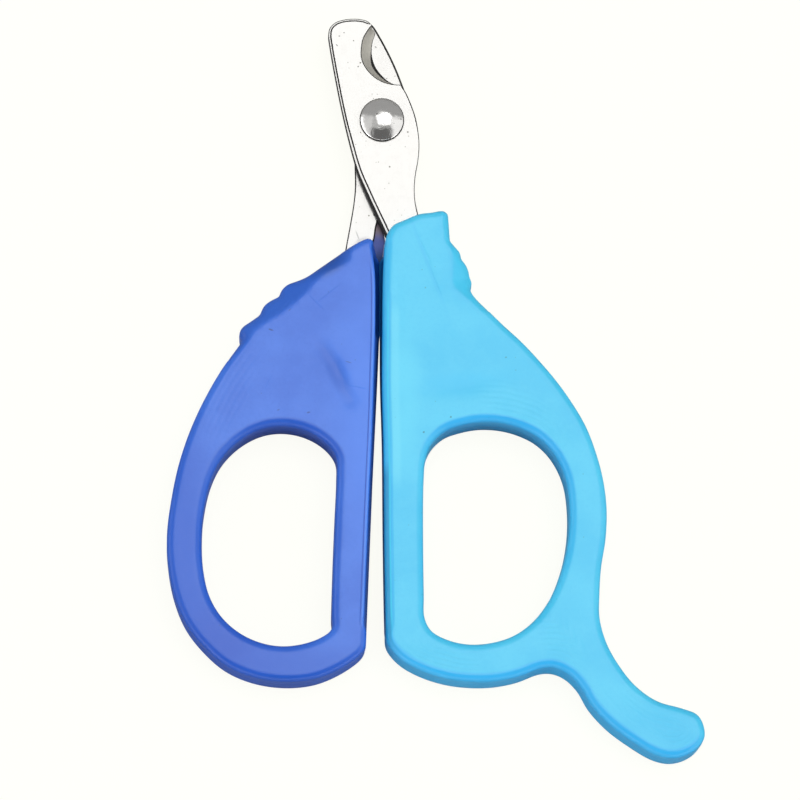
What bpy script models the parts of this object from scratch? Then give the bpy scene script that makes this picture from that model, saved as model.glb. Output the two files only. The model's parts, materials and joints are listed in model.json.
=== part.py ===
"""Scissor claw clipper for pets: two stamped blades, two moulded loop handles,
one domed rivet with a back washer.

The clipper lies flat: thickness along +Z, blade tips towards +Y, origin at the
centre of the footprint on the surface it rests on.  Outlines are written in
millimetres from the pivot axis (x to the right, y towards the blade tips).
"""
import bpy
import bmesh
import math
import numpy as np
from mathutils import Vector
from mathutils.geometry import delaunay_2d_cdt

MM = 0.001

# ---------------------------------------------------------------- dimensions
PIVOT_X, PIVOT_Y = -8.83, 45.02      # pivot axis from the footprint centre
HANDLE_T = 8.0                      # handle thickness
EDGE_R = 1.1                        # rounding of the handles' outer edges
LOOP_R = 0.95                       # rounding inside the finger loops
BLADE_T = 1.6                       # blade sheet
REAR_Z0 = 2.3                       # rear blade's back face
BLADE_GAP = 0.15                    # running gap between the two blades
FRONT_Z0 = REAR_Z0 + BLADE_T + BLADE_GAP
BLADE_CHAMFER = 0.45                # broken edge round the blades
STOP_TAB_T = 1.0                    # thin closing-stop tab on the rear blade
TANG_CLEAR = 0.2                    # moulding clearance round the tangs
SHANK_R = 2.2                       # rivet shank
PIVOT_HOLE_R = 2.3                  # hole in both blades
HEAD_R = 3.75                       # rivet's domed head
HEAD_RIM = 0.3
HEAD_DOME = 1.55
WASHER_T = 0.65
WASHER_R = 3.5
WASHER_HOLE_R = 2.32
STACK_GAP = 0.1                     # axial play under the rivet's two heads
CLINCH_R = 3.2
CLINCH_T = 0.7
LOCK_HOLE_R = 1.35                  # holes in the tangs that the plastic fills
LOCK_PEG_R = 1.05

# ------------------------------------------------------------------ outlines
# A third entry "c" marks a corner; the rest of each outline is a smooth curve.
DARK_OUTER = [
    (-1.3, -21.3, "c"), (-2.2, -20.7), (-3.3, -21.1), (-5.8, -22.5), (-10.4, -25.8),
    (-12.6, -27.3), (-14.3, -28.0), (-15.8, -28.6), (-16.8, -29.6), (-17.2, -30.7, "c"),
    (-18.3, -31.2), (-19.7, -32.3), (-20.4, -33.9, "c"), (-21.9, -35.0), (-23.4, -36.1),
    (-23.8, -37.2), (-23.5, -38.2), (-23.4, -38.6, "c"), (-25.0, -40.9), (-26.7, -43.4),
    (-28.7, -46.9), (-30.7, -51.0), (-32.4, -55.3), (-33.8, -60.0), (-34.8, -65.1),
    (-35.5, -70.9), (-35.3, -76.3), (-34.2, -81.7), (-32.2, -86.4), (-29.0, -90.4),
    (-25.5, -93.3), (-20.9, -95.2), (-15.6, -95.9), (-10.7, -95.3), (-6.2, -93.3),
    (-3.2, -91.0), (-2.6, -89.9), (-2.5, -88.7, "c"), (-1.5, -62.7, "c"), (-0.4, -37.7),
    (-0.35, -33.7), (-0.35, -29.7), (-0.45, -26.7), (-0.8, -23.7),
]
DARK_LOOP = [
    (-29.7, -72.8), (-29.4, -67.6), (-28.3, -62.4), (-26.7, -58.9), (-24.5, -56.3),
    (-21.9, -54.4), (-19.2, -53.3), (-16.2, -53.0), (-13.3, -53.5), (-10.7, -54.7),
    (-8.7, -56.4), (-7.6, -58.3), (-7.5, -61.2), (-7.8, -68.7), (-8.1, -76.7),
    (-8.3, -84.7), (-8.3, -86.9), (-10.0, -88.3), (-13.0, -89.4), (-16.5, -89.8),
    (-20.0, -89.2), (-23.4, -87.6), (-26.4, -84.9), (-28.4, -81.4), (-29.4, -77.1),
]
LIGHT_OUTER = [
    (0.5, -21.1), (0.9, -19.8), (1.9, -18.4), (3.4, -17.7), (6.2, -16.5), (8.4, -16.2),
    (10.2, -15.9), (11.1, -16.4, "c"), (11.3, -19.2), (11.4, -21.1, "c"), (12.3, -22.1),
    (13.1, -23.0), (13.3, -24.1, "c"), (14.1, -25.0), (14.6, -26.3), (14.7, -27.1, "c"),
    (15.1, -28.1), (14.85, -29.4), (15.6, -30.7), (17.6, -32.8), (20.4, -35.6),
    (23.1, -38.1), (25.9, -41.1), (29.0, -44.8), (31.6, -48.5), (33.9, -52.5),
    (35.5, -56.7), (36.7, -61.3), (37.3, -66.3), (37.1, -71.5), (36.3, -76.5),
    (36.0, -80.9), (36.0, -84.9), (37.1, -89.0), (39.1, -92.7), (41.8, -96.1),
    (45.3, -98.6), (49.4, -99.8), (51.9, -100.8), (52.9, -102.4), (53.1, -104.7),
    (51.7, -106.7), (49.5, -107.9), (47.3, -108.2), (44.6, -107.5), (40.9, -105.3),
    (37.3, -102.6), (34.3, -99.3), (32.5, -96.2), (30.5, -94.2), (28.4, -93.3),
    (26.2, -93.4), (22.5, -94.8), (18.6, -95.6), (14.6, -95.7), (10.6, -95.2), (6.7, -94.0),
    (3.5, -92.3), (1.6, -90.5), (0.75, -89.0), (0.6, -86.2), (0.35, -72.7), (0.2, -56.7),
    (-0.05, -46.7), (-0.05, -38.7), (0.0, -30.7), (0.1, -26.3), (0.25, -23.3),
]
LIGHT_LOOP = [
    (7.0, -61.7), (7.3, -58.3), (8.4, -55.7), (10.5, -53.7), (13.1, -52.7), (16.2, -52.1),
    (19.6, -52.2), (22.8, -53.0), (25.9, -54.6), (28.4, -57.2), (30.3, -61.2),
    (31.0, -66.3), (30.8, -71.5), (29.7, -76.7), (27.7, -81.7), (24.9, -85.5),
    (21.6, -87.9), (17.8, -89.1), (14.0, -89.3), (10.6, -88.5), (8.2, -87.1), (7.1, -84.9),
    (7.0, -81.2), (6.9, -72.7), (6.9, -65.7),
]

# Front blade, in order: top of the notch over the tip, down the back edge,
# round the tang, up the right edge to the bottom of the notch.
FRONT_EDGE = [
    (-1.7, 16.6, "c"), (-2.4, 17.3), (-3.6, 17.65), (-5.1, 17.7), (-6.6, 17.5),
    (-7.9, 17.0), (-8.8, 16.05), (-9.05, 14.85), (-8.8, 12.75), (-7.7, 6.5), (-6.8, 1.95),
    (-5.7, -2.9), (-4.7, -6.8), (-3.8, -9.9), (-2.4, -13.35), (-1.1, -16.2), (0.2, -19.0),
    (1.2, -21.45), (2.2, -25.65), (3.0, -31.65), (3.6, -38.65), (4.4, -43.25),
    (6.0, -44.85), (8.2, -44.45), (9.2, -42.25), (8.8, -36.65), (7.8, -28.65),
    (6.9, -20.65), (6.1, -16.3), (5.6, -13.85), (5.5, -11.55), (5.7, -9.3), (6.1, -7.0),
    (6.3, -4.75), (6.2, -2.5), (5.7, 0.5), (4.9, 2.9), (4.0, 4.95), (3.2, 6.2, "c"),
]
FRONT_NOTCH_CUT = [
    (3.2, 6.2), (2.3, 6.6), (1.1, 7.2), (-0.1, 8.35), (-1.0, 9.6), (-1.6, 11.35),
    (-1.7, 12.75), (-1.5, 14.2), (-1.1, 15.65), (-1.7, 16.5),
]
FRONT_NOTCH_FACE = [
    (3.2, 6.2), (2.2, 6.25), (0.6, 6.55), (-1.3, 7.6), (-2.8, 9.35), (-3.4, 10.9),
    (-3.4, 12.65), (-3.1, 14.2), (-2.5, 15.35), (-1.7, 16.5),
]

# Rear blade, in order: hook over the tip, down its back edge on the right,
# round the tang, up the left edge to the bottom of the notch.
REAR_EDGE = [
    (-6.9, 16.4, "c"), (-6.4, 17.5), (-5.3, 18.0), (-3.9, 18.15), (-2.6, 17.8),
    (-1.5, 17.0), (-0.1, 14.75), (1.4, 11.85), (2.6, 9.15), (3.6, 6.5), (4.4, 4.1),
    (4.8, 1.25), (4.7, -1.85), (3.9, -5.35), (2.7, -8.9), (1.2, -12.6), (-0.2, -15.9),
    (-0.85, -17.95), (-1.1, -19.65), (-1.7, -22.25), (-2.2, -26.25, "c"), (-2.6, -31.65),
    (-3.2, -38.65), (-3.8, -43.05), (-5.2, -44.85), (-7.4, -44.45), (-8.6, -42.25),
    (-8.2, -36.65), (-7.1, -28.65), (-6.1, -22.25), (-5.2, -17.15), (-4.7, -13.95),
    (-4.45, -10.95), (-4.5, -7.65), (-4.6, -4.15), (-4.9, -0.5), (-5.2, 2.45),
    (-5.6, 5.05, "c"),
]
REAR_NOTCH_CUT = [
    (-5.6, 5.05), (-4.5, 6.1), (-3.6, 7.4), (-3.0, 9.15), (-2.85, 11.1), (-3.1, 12.9),
    (-3.8, 14.4), (-4.9, 15.55), (-5.9, 16.05), (-6.9, 16.4),
]
REAR_NOTCH_FACE = [
    (-5.6, 5.05), (-4.1, 5.35), (-2.6, 6.5), (-1.6, 8.35), (-1.25, 10.6), (-1.4, 12.55),
    (-2.2, 14.3), (-3.7, 15.55), (-5.3, 16.15), (-6.9, 16.4),
]
# closing-stop tab beside the rear blade's neck, replacing REAR_EDGE's stretch
# from the neck down to the tang's corner
STOP_TAB = [
    (-0.2, -15.9), (-0.2, -17.75), (-0.05, -19.2), (-0.15, -20.85), (-0.4, -23.05),
    (-0.65, -24.65), (-1.3, -25.75), (-2.2, -26.25),
]

FRONT_LOCKS = [
    (4.9, -27.65), (6.3, -37.65),
]
REAR_LOCKS = [
    (-4.6, -28.65), (-5.7, -37.65),
]


# ------------------------------------------------------------------- curves
def catmull(points, closed):
    """Centripetal Catmull-Rom curve through points, finely sampled."""
    p = [np.array(q, dtype=float) for q in points]
    n = len(p)
    out = []
    spans = n if closed else n - 1
    for i in range(spans):
        p1, p2 = p[i], p[(i + 1) % n]
        p0 = p[(i - 1) % n] if (closed or i > 0) else 2 * p1 - p2
        p3 = p[(i + 2) % n] if (closed or i + 2 < n) else 2 * p2 - p1
        t0 = 0.0
        t1 = t0 + max(np.linalg.norm(p1 - p0), 1e-6) ** 0.5
        t2 = t1 + max(np.linalg.norm(p2 - p1), 1e-6) ** 0.5
        t3 = t2 + max(np.linalg.norm(p3 - p2), 1e-6) ** 0.5
        steps = max(4, int(math.ceil(np.linalg.norm(p2 - p1) / 0.15)))
        for k in range(steps):
            t = t1 + (t2 - t1) * k / steps
            a1 = (t1 - t) / (t1 - t0) * p0 + (t - t0) / (t1 - t0) * p1
            a2 = (t2 - t) / (t2 - t1) * p1 + (t - t1) / (t2 - t1) * p2
            a3 = (t3 - t) / (t3 - t2) * p2 + (t - t2) / (t3 - t2) * p3
            b1 = (t2 - t) / (t2 - t0) * a1 + (t - t0) / (t2 - t0) * a2
            b2 = (t3 - t) / (t3 - t1) * a2 + (t - t1) / (t3 - t1) * a3
            out.append((t2 - t) / (t2 - t1) * b1 + (t - t1) / (t2 - t1) * b2)
    if not closed:
        out.append(p[-1])
    return out


def thin(pts, tol):
    """Douglas-Peucker: the fewest of these points within tol of the curve."""
    if len(pts) < 3:
        return list(pts)
    a, b = pts[0], pts[-1]
    ab = b - a
    length = np.linalg.norm(ab)
    arr = np.array(pts)
    if length < 1e-9:
        d = np.linalg.norm(arr - a, axis=1)
    else:
        d = np.abs(ab[0] * (arr[:, 1] - a[1]) - ab[1] * (arr[:, 0] - a[0])) / length
    k = int(np.argmax(d))
    if d[k] <= tol:
        return [a, b]
    return thin(pts[:k + 1], tol)[:-1] + thin(pts[k:], tol)


def resample(pts, count):
    """count + 1 points at equal steps along an open line."""
    arr = np.array(pts)
    seg = np.linalg.norm(np.diff(arr, axis=0), axis=1)
    s = np.concatenate([[0.0], np.cumsum(seg)])
    u = np.linspace(0.0, s[-1], count + 1)
    return [np.array([np.interp(v, s, arr[:, 0]), np.interp(v, s, arr[:, 1])]) for v in u]


def outline(points, tol=0.03):
    """Closed outline from control points, turned counter-clockwise."""
    corners = [i for i, q in enumerate(points) if len(q) > 2]
    xy = [q[:2] for q in points]
    loop = []
    if not corners:
        fine = catmull(xy, True)
        half = len(fine) // 2
        loop = thin(fine[:half + 1], tol)[:-1] + thin(fine[half:] + [fine[0]], tol)[:-1]
    else:
        xy = xy[corners[0]:] + xy[:corners[0]]
        marks = [c - corners[0] for c in corners] + [len(xy)]
        xy.append(xy[0])
        for a, b in zip(marks[:-1], marks[1:]):
            loop += thin(catmull(xy[a:b + 1], False), tol)[:-1]
    if signed_area(loop) < 0:
        loop.reverse()
    return loop


def signed_area(loop):
    a = np.array(loop)
    b = np.roll(a, -1, axis=0)
    return 0.5 * float(np.sum(a[:, 0] * b[:, 1] - b[:, 0] * a[:, 1]))


def circle(cx, cy, r, n):
    return [np.array([cx + r * math.cos(2 * math.pi * k / n),
                      cy + r * math.sin(2 * math.pi * k / n)]) for k in range(n)]


def inward(loop):
    """Unit normals to the left of travel (into a counter-clockwise loop)."""
    a = np.array(loop)
    prev, nxt = a - np.roll(a, 1, axis=0), np.roll(a, -1, axis=0) - a
    prev = prev / np.linalg.norm(prev, axis=1)[:, None]
    nxt = nxt / np.linalg.norm(nxt, axis=1)[:, None]
    t = prev + nxt
    t = t / np.linalg.norm(t, axis=1)[:, None]
    return np.stack([-t[:, 1], t[:, 0]], axis=1)


def distance_to(loop, p):
    a = np.array(loop)
    b = np.roll(a, -1, axis=0)
    ab = b - a
    t = np.clip(np.sum((p - a) * ab, axis=1) / np.sum(ab * ab, axis=1), 0.0, 1.0)
    return float(np.min(np.linalg.norm(a + ab * t[:, None] - p, axis=1)))


def room(loop, normals, r):
    """How far each vertex may move in without crossing its neighbours."""
    out = []
    for p, n in zip(np.array(loop), normals):
        t = r
        while t > 0.1 and distance_to(loop, p + n * t) < 0.93 * t:
            t -= 0.05
        out.append(max(t, 0.1))
    out = np.array(out)
    for _ in range(2):
        out = np.minimum(out, 0.5 * out + 0.25 * (np.roll(out, 1) + np.roll(out, -1)))
    base = np.array(loop)
    for _ in range(60):
        bad = crossings(base + normals * out[:, None])
        if not bad:
            break
        for i in bad:
            for k in (-1, 0, 1, 2):
                out[(i + k) % len(out)] *= 0.9
    return out


def crossings(p):
    """Indices of edges that meet another edge of the same loop, or turn back."""
    q = np.roll(p, -1, axis=0)
    bad = set()
    n = len(p)
    for i in range(n):
        d = q[i] - p[i]
        e = q - p
        r = p - p[i]
        den = d[0] * e[:, 1] - d[1] * e[:, 0]
        safe = np.where(np.abs(den) < 1e-12, 1.0, den)
        t = (r[:, 0] * e[:, 1] - r[:, 1] * e[:, 0]) / safe
        u = (r[:, 0] * d[1] - r[:, 1] * d[0]) / safe
        hit = (np.abs(den) >= 1e-12) & (t > 1e-6) & (t < 1 - 1e-6) & (u > 1e-6) & (u < 1 - 1e-6)
        for j in np.nonzero(hit)[0]:
            bad.add(i)
            bad.add(int(j))
    return bad


# ------------------------------------------------------------------- solids
def ring(bm, loop, z):
    return [bm.verts.new((p[0] * MM, p[1] * MM, z * MM)) for p in loop]


def bridge(bm, low, high):
    """Wall between two rings of one counter-clockwise loop, facing outwards."""
    n = len(low)
    for i in range(n):
        j = (i + 1) % n
        bm.faces.new((low[i], low[j], high[j], high[i]))


def cap(bm, rings, up):
    """Flat face bounded by rings[0], with the other rings as holes."""
    verts = [v for r in rings for v in r]
    co = [Vector((v.co.x / MM, v.co.y / MM)) for v in verts]
    edges, start = [], 0
    for r in rings:
        edges += [(start + i, start + (i + 1) % len(r)) for i in range(len(r))]
        start += len(r)
    res = delaunay_2d_cdt(co, edges, [], 1, 1e-6)
    loops = []
    start = 0
    for r in rings:
        loops.append([np.array(co[start + i]) for i in range(len(r))])
        start += len(r)
    for tri in res[2]:
        c = sum((np.array(res[0][i]) for i in tri), np.zeros(2)) / 3.0
        if not inside(loops[0], c) or any(inside(h, c) for h in loops[1:]):
            continue
        ids = [res[3][i][0] for i in tri]
        if not up:
            ids.reverse()
        bm.faces.new([verts[i] for i in ids])


def inside(loop, p):
    hit = False
    n = len(loop)
    for i in range(n):
        a, b = loop[i], loop[(i + 1) % n]
        if (a[1] > p[1]) != (b[1] > p[1]):
            if p[0] < (b[0] - a[0]) * (p[1] - a[1]) / (b[1] - a[1]) + a[0]:
                hit = not hit
    return hit


def finish(bm, name, material, parent=None, smooth_angle=30.0):
    bmesh.ops.remove_doubles(bm, verts=bm.verts, dist=2e-7)
    bmesh.ops.dissolve_degenerate(bm, edges=bm.edges, dist=1e-8)
    bmesh.ops.recalc_face_normals(bm, faces=bm.faces)
    mesh = bpy.data.meshes.new(name)
    bm.to_mesh(mesh)
    bm.free()
    mesh.shade_smooth()
    mesh.set_sharp_from_angle(angle=math.radians(smooth_angle))
    obj = bpy.data.objects.new(name, mesh)
    bpy.context.scene.collection.objects.link(obj)
    if material is not None:
        mesh.materials.append(material)
    if parent is not None:
        obj.parent = parent
    return obj


def material(name, color, roughness, metallic):
    mat = bpy.data.materials.new(name)
    mat.use_nodes = True
    shader = mat.node_tree.nodes["Principled BSDF"]
    shader.inputs["Base Color"].default_value = (*color, 1.0)
    shader.inputs["Roughness"].default_value = roughness
    shader.inputs["Metallic"].default_value = metallic
    return mat


def rounded_plate(name, outer, hole, r_outer, r_hole, mat, parent):
    """Moulded slab with a finger loop and rounded edges on both faces."""
    bm = bmesh.new()
    faces = []
    for k, (loop, r) in enumerate(((outer, r_outer), (hole, r_hole))):
        normals = inward(loop)
        if k == 1:
            normals = -normals
        step = room(loop, normals, r) if k == 0 else np.full(len(loop), r)
        base = np.array(loop)
        levels = []
        for a in (90.0, 45.0, 0.0):
            s = 1.0 - math.cos(math.radians(a))
            levels.append((r - r * math.sin(math.radians(a)), s))
        for a in (0.0, 45.0, 90.0):
            s = 1.0 - math.cos(math.radians(a))
            levels.append((HANDLE_T - r + r * math.sin(math.radians(a)), s))
        rings = [ring(bm, base + normals * (step * s)[:, None], z) for z, s in levels]
        for low, high in zip(rings[:-1], rings[1:]):
            if k == 0:
                bridge(bm, low, high)
            else:
                bridge(bm, high, low)
        faces.append((rings[0], rings[-1]))
    cap(bm, [faces[0][0], faces[1][0]], up=False)
    cap(bm, [faces[0][1], faces[1][1]], up=True)
    return finish(bm, name, mat, parent)


def blade_loop(edge, notch, notch_steps):
    """Edge outline plus its notch; returns the loop and each vertex's kind."""
    marks = [i for i, q in enumerate(edge) if len(q) > 2]
    xy = [q[:2] for q in edge]
    pts = []
    for a, b in zip(marks[:-1], marks[1:]):
        pts += thin(catmull(xy[a:b + 1], False), 0.03)[:-1]
    body = len(pts)
    pts += resample(catmull(notch, False), notch_steps)[:-1]
    return pts, body


def blade(name, mat, parent, edge, cut, face, z_cut, z_face, locks, tab=None):
    """Stamped plate.  Its cutting edge lies on the face at z_cut; the notch is
    ground back to `face` on the far side.  Its other edges are broken."""
    steps = 26
    loop_cut, body = blade_loop(edge, cut, steps)
    loop_face, _ = blade_loop(edge, face, steps)
    a, b = np.array(loop_cut), np.array(loop_face)
    ccw = signed_area(loop_cut) > 0
    if not ccw:
        a, b = a[::-1].copy(), b[::-1].copy()
    n = len(a)
    is_notch = np.array([i >= body or i == 0 for i in range(n)])
    if not ccw:
        is_notch = is_notch[::-1].copy()
    normals = inward(a)
    near = np.clip((a[:, 1] + 15.0) / 4.0, 0.0, 1.0)        # no chamfer on the tang
    ends = np.minimum.reduce([np.linalg.norm(a - np.array(edge[i][:2]), axis=1)
                              for i in (0, -1)])
    weight = near * np.clip(ends / 1.5, 0.0, 1.0)
    weight[is_notch] = 0.0
    chamfer = normals * (BLADE_CHAMFER * weight)[:, None]
    up = z_face > z_cut
    part = 1.0 - BLADE_CHAMFER / BLADE_T
    mid = a + (b - a) * part
    z_mid = z_cut + (z_face - z_cut) * part
    levels = [(a, z_cut), (mid, z_mid), (b + chamfer, z_face)]
    if tab is not None:
        # thin tab on the side away from the other blade: the wall steps in
        # from the tab's outline to the blade's own edge part-way up
        wide = a.copy()
        line = np.array(catmull(tab, False))
        top, low = tab[0][1], tab[-1][1]
        for i in range(n):
            x, y = a[i]
            if low < y < top and x > -2.6 and not is_notch[i]:
                k = int(np.argmin(np.abs(line[:, 1] - y)))
                wide[i, 0] = max(x, line[k, 0])
        z_step = z_face + STOP_TAB_T * (1 if z_cut > z_face else -1)
        frac = (z_step - z_cut) / (z_face - z_cut)
        at = a + (b - a) * frac
        off = wide - a
        levels = [(a, z_cut), (at, z_step), (at + off, z_step),
                  (mid + off, z_mid), (b + chamfer + off, z_face)]
        if abs(z_mid - z_step) < 1e-6:
            levels.pop(3)
    if not up:
        levels.reverse()
    bm = bmesh.new()
    rings = [ring(bm, loop, z) for loop, z in levels]
    for low_r, high_r in zip(rings[:-1], rings[1:]):
        bridge(bm, low_r, high_r)
    z_low, z_high = levels[0][1], levels[-1][1]
    holes_low, holes_high = [], []
    for cx, cy, r, count in [(0.0, 0.0, PIVOT_HOLE_R, 32)] + [(x, y, LOCK_HOLE_R, 16) for x, y in locks]:
        lo = ring(bm, circle(cx, cy, r, count), z_low)
        hi = ring(bm, circle(cx, cy, r, count), z_high)
        bridge(bm, hi, lo)
        holes_low.append(lo)
        holes_high.append(hi)
    cap(bm, [rings[0]] + holes_low, up=False)
    cap(bm, [rings[-1]] + holes_high, up=True)
    return finish(bm, name, mat, parent)


def turned(name, profile, mat, parent, count=36, hole=False):
    """Revolved piece about the pivot axis from (radius, z) points, bottom to
    top along the outside; with hole=True the profile closes on itself."""
    bm = bmesh.new()
    rings = []
    for r, z in profile:
        if r < 1e-6:
            rings.append([bm.verts.new((0.0, 0.0, z * MM))])
        else:
            rings.append(ring(bm, circle(0.0, 0.0, r, count), z))
    pairs = list(zip(rings[:-1], rings[1:]))
    if hole:
        pairs.append((rings[-1], rings[0]))
    for low, high in pairs:
        if len(low) == 1:
            for i in range(count):
                bm.faces.new((low[0], high[(i + 1) % count], high[i]))
        elif len(high) == 1:
            for i in range(count):
                bm.faces.new((low[i], low[(i + 1) % count], high[0]))
        else:
            bridge(bm, low, high)
    return finish(bm, name, mat, parent, 35.0)


def grow(loop, d):
    return [p - n * d for p, n in zip(np.array(loop), inward(loop))]


def pocket(handle, edge, locks, z0, z1, tab=None):
    """Hollow in a handle that holds a tang, with pegs through its lock holes."""
    pts = [q[:2] for q in edge if q[1] < -12.0]
    if tab is not None:
        pts = list(tab) + [q for q in pts if q[1] < tab[-1][1] - 0.1 or q[0] < -3.0]
    loop = thin(catmull(pts, False), 0.05)
    if signed_area(loop) < 0:
        loop.reverse()
    loop = grow(loop, TANG_CLEAR)
    bm = bmesh.new()
    lo = ring(bm, loop, z0 - TANG_CLEAR)
    hi = ring(bm, loop, z1 + TANG_CLEAR)
    bridge(bm, lo, hi)
    pegs_lo, pegs_hi = [], []
    for x, y in locks:
        a = ring(bm, circle(x, y, LOCK_PEG_R, 14), z0 - TANG_CLEAR)
        b = ring(bm, circle(x, y, LOCK_PEG_R, 14), z1 + TANG_CLEAR)
        bridge(bm, b, a)
        pegs_lo.append(a)
        pegs_hi.append(b)
    cap(bm, [lo] + pegs_lo, up=False)
    cap(bm, [hi] + pegs_hi, up=True)
    cutter = finish(bm, handle.name + "_pocket_cutter", None, handle.parent)
    cutter.hide_render = True
    cutter.display_type = "WIRE"
    cut = handle.modifiers.new("tang_pocket", "BOOLEAN")
    cut.operation = "DIFFERENCE"
    cut.solver = "EXACT"
    cut.object = cutter


def build():
    for obj in list(bpy.data.objects):
        bpy.data.objects.remove(obj, do_unlink=True)

    steel = material("brushed_steel", (0.80, 0.80, 0.79), 0.26, 1.0)
    rivet_steel = material("polished_steel", (0.78, 0.77, 0.75), 0.12, 1.0)
    dark_plastic = material("dark_blue_plastic", (0.055, 0.14, 0.62), 0.34, 0.0)
    light_plastic = material("light_blue_plastic", (0.05, 0.50, 0.86), 0.34, 0.0)

    def pivot_empty(name):
        empty = bpy.data.objects.new(name, None)
        empty.location = (PIVOT_X * MM, PIVOT_Y * MM, 0.0)
        empty.empty_display_size = 0.01
        bpy.context.scene.collection.objects.link(empty)
        return empty

    dark_half = pivot_empty("dark_half_axis")
    light_half = pivot_empty("light_half_axis")

    dark = rounded_plate("dark_blue_handle", outline(DARK_OUTER), outline(DARK_LOOP),
                         EDGE_R, LOOP_R, dark_plastic, dark_half)
    light = rounded_plate("light_blue_handle", outline(LIGHT_OUTER), outline(LIGHT_LOOP),
                          EDGE_R, LOOP_R, light_plastic, light_half)
    pocket(dark, REAR_EDGE, REAR_LOCKS, REAR_Z0, REAR_Z0 + BLADE_T, STOP_TAB)
    pocket(light, FRONT_EDGE, FRONT_LOCKS, FRONT_Z0, FRONT_Z0 + BLADE_T)

    blade("rear_blade", steel, dark_half, REAR_EDGE, REAR_NOTCH_CUT, REAR_NOTCH_FACE,
          REAR_Z0 + BLADE_T, REAR_Z0, REAR_LOCKS, STOP_TAB)
    blade("front_blade", steel, light_half, FRONT_EDGE, FRONT_NOTCH_CUT, FRONT_NOTCH_FACE,
          FRONT_Z0, FRONT_Z0 + BLADE_T, FRONT_LOCKS)

    # rivet: clinched end, shank, domed head
    washer_low = REAR_Z0 - STACK_GAP - WASHER_T
    clinch_top = washer_low - STACK_GAP
    head_low = FRONT_Z0 + BLADE_T + STACK_GAP
    profile = [(0.0, clinch_top - CLINCH_T), (CLINCH_R * 0.55, clinch_top - CLINCH_T),
               (CLINCH_R * 0.86, clinch_top - CLINCH_T * 0.82), (CLINCH_R, clinch_top - CLINCH_T * 0.4),
               (CLINCH_R, clinch_top), (SHANK_R, clinch_top), (SHANK_R, head_low),
               (HEAD_R - 0.12, head_low), (HEAD_R, head_low + 0.12), (HEAD_R, head_low + HEAD_RIM)]
    ball = (HEAD_R ** 2 + HEAD_DOME ** 2) / (2 * HEAD_DOME)
    top = math.asin(HEAD_R / ball)
    for k in range(1, 6):
        a = top * (1 - k / 6)
        profile.append((ball * math.sin(a), head_low + HEAD_RIM + HEAD_DOME - ball * (1 - math.cos(a))))
    profile.append((0.0, head_low + HEAD_RIM + HEAD_DOME))
    turned("pivot_rivet", profile, rivet_steel, dark_half)

    bevel = 0.12
    w0, w1 = washer_low, washer_low + WASHER_T
    turned("rivet_back_washer",
           [(WASHER_HOLE_R, w0), (WASHER_R - bevel, w0), (WASHER_R, w0 + bevel),
            (WASHER_R, w1 - bevel), (WASHER_R - bevel, w1), (WASHER_HOLE_R, w1)],
           steel, dark_half, hole=True)


build()
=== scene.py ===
"""Looks of the scissor claw clipper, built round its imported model.

Every outline is written in millimetres from the pivot axis, as in the design:
x to the right, y towards the blade tips, z up from the surface it lies on.
"""
import json
import math

import bmesh
import bpy
import numpy as np
from mathutils import Matrix, Vector
from mathutils.geometry import delaunay_2d_cdt
from mathutils.kdtree import KDTree


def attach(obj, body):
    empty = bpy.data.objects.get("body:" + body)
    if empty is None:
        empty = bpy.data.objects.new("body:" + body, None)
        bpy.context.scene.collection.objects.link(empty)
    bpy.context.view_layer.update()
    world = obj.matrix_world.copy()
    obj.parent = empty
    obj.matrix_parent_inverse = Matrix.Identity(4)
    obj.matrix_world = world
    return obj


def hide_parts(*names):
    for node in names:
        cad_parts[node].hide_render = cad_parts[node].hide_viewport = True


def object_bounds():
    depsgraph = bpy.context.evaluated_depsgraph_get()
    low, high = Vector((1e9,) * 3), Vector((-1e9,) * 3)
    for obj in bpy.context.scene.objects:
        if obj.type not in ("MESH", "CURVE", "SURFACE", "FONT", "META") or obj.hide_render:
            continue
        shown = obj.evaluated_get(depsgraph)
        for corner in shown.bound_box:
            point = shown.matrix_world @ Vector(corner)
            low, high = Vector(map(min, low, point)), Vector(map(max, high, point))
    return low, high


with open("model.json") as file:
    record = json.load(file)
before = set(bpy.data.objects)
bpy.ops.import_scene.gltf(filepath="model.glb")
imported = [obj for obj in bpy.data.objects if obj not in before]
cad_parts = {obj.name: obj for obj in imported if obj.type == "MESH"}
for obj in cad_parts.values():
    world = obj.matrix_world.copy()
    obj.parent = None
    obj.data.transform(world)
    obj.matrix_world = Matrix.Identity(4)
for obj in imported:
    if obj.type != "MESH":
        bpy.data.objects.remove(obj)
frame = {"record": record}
cad_lo, cad_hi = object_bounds()

MM = 0.001
PIVOT = [j for j in frame["record"]["behaviour"]["joints"] if j["name"] == "scissor_pivot"][0]["pos_m"]
PX, PY = PIVOT[0] / MM, PIVOT[1] / MM

HANDLE_T = 8.0                      # handle thickness
EDGE_R = 1.25                       # rounding of the handles' outer edges
LOOP_R = 1.35                       # rounding inside the finger loops
UNDER_R = 0.40                      # rounding of the undersides
BLADE_T = 1.6
REAR_Z0 = 2.3
BLADE_GAP = 0.15
FRONT_Z0 = REAR_Z0 + BLADE_T + BLADE_GAP
STOP_TAB_T = 1.0
HEAD_R = 3.75
HEAD_RIM = 0.3
HEAD_DOME = 1.55
SHANK_R = 2.2
PIVOT_HOLE_R = 2.3
STACK_GAP = 0.1
WASHER_T = 0.65
WASHER_R = 3.5
WASHER_HOLE_R = 2.32
CLINCH_R = 3.2
CLINCH_T = 0.7

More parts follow.
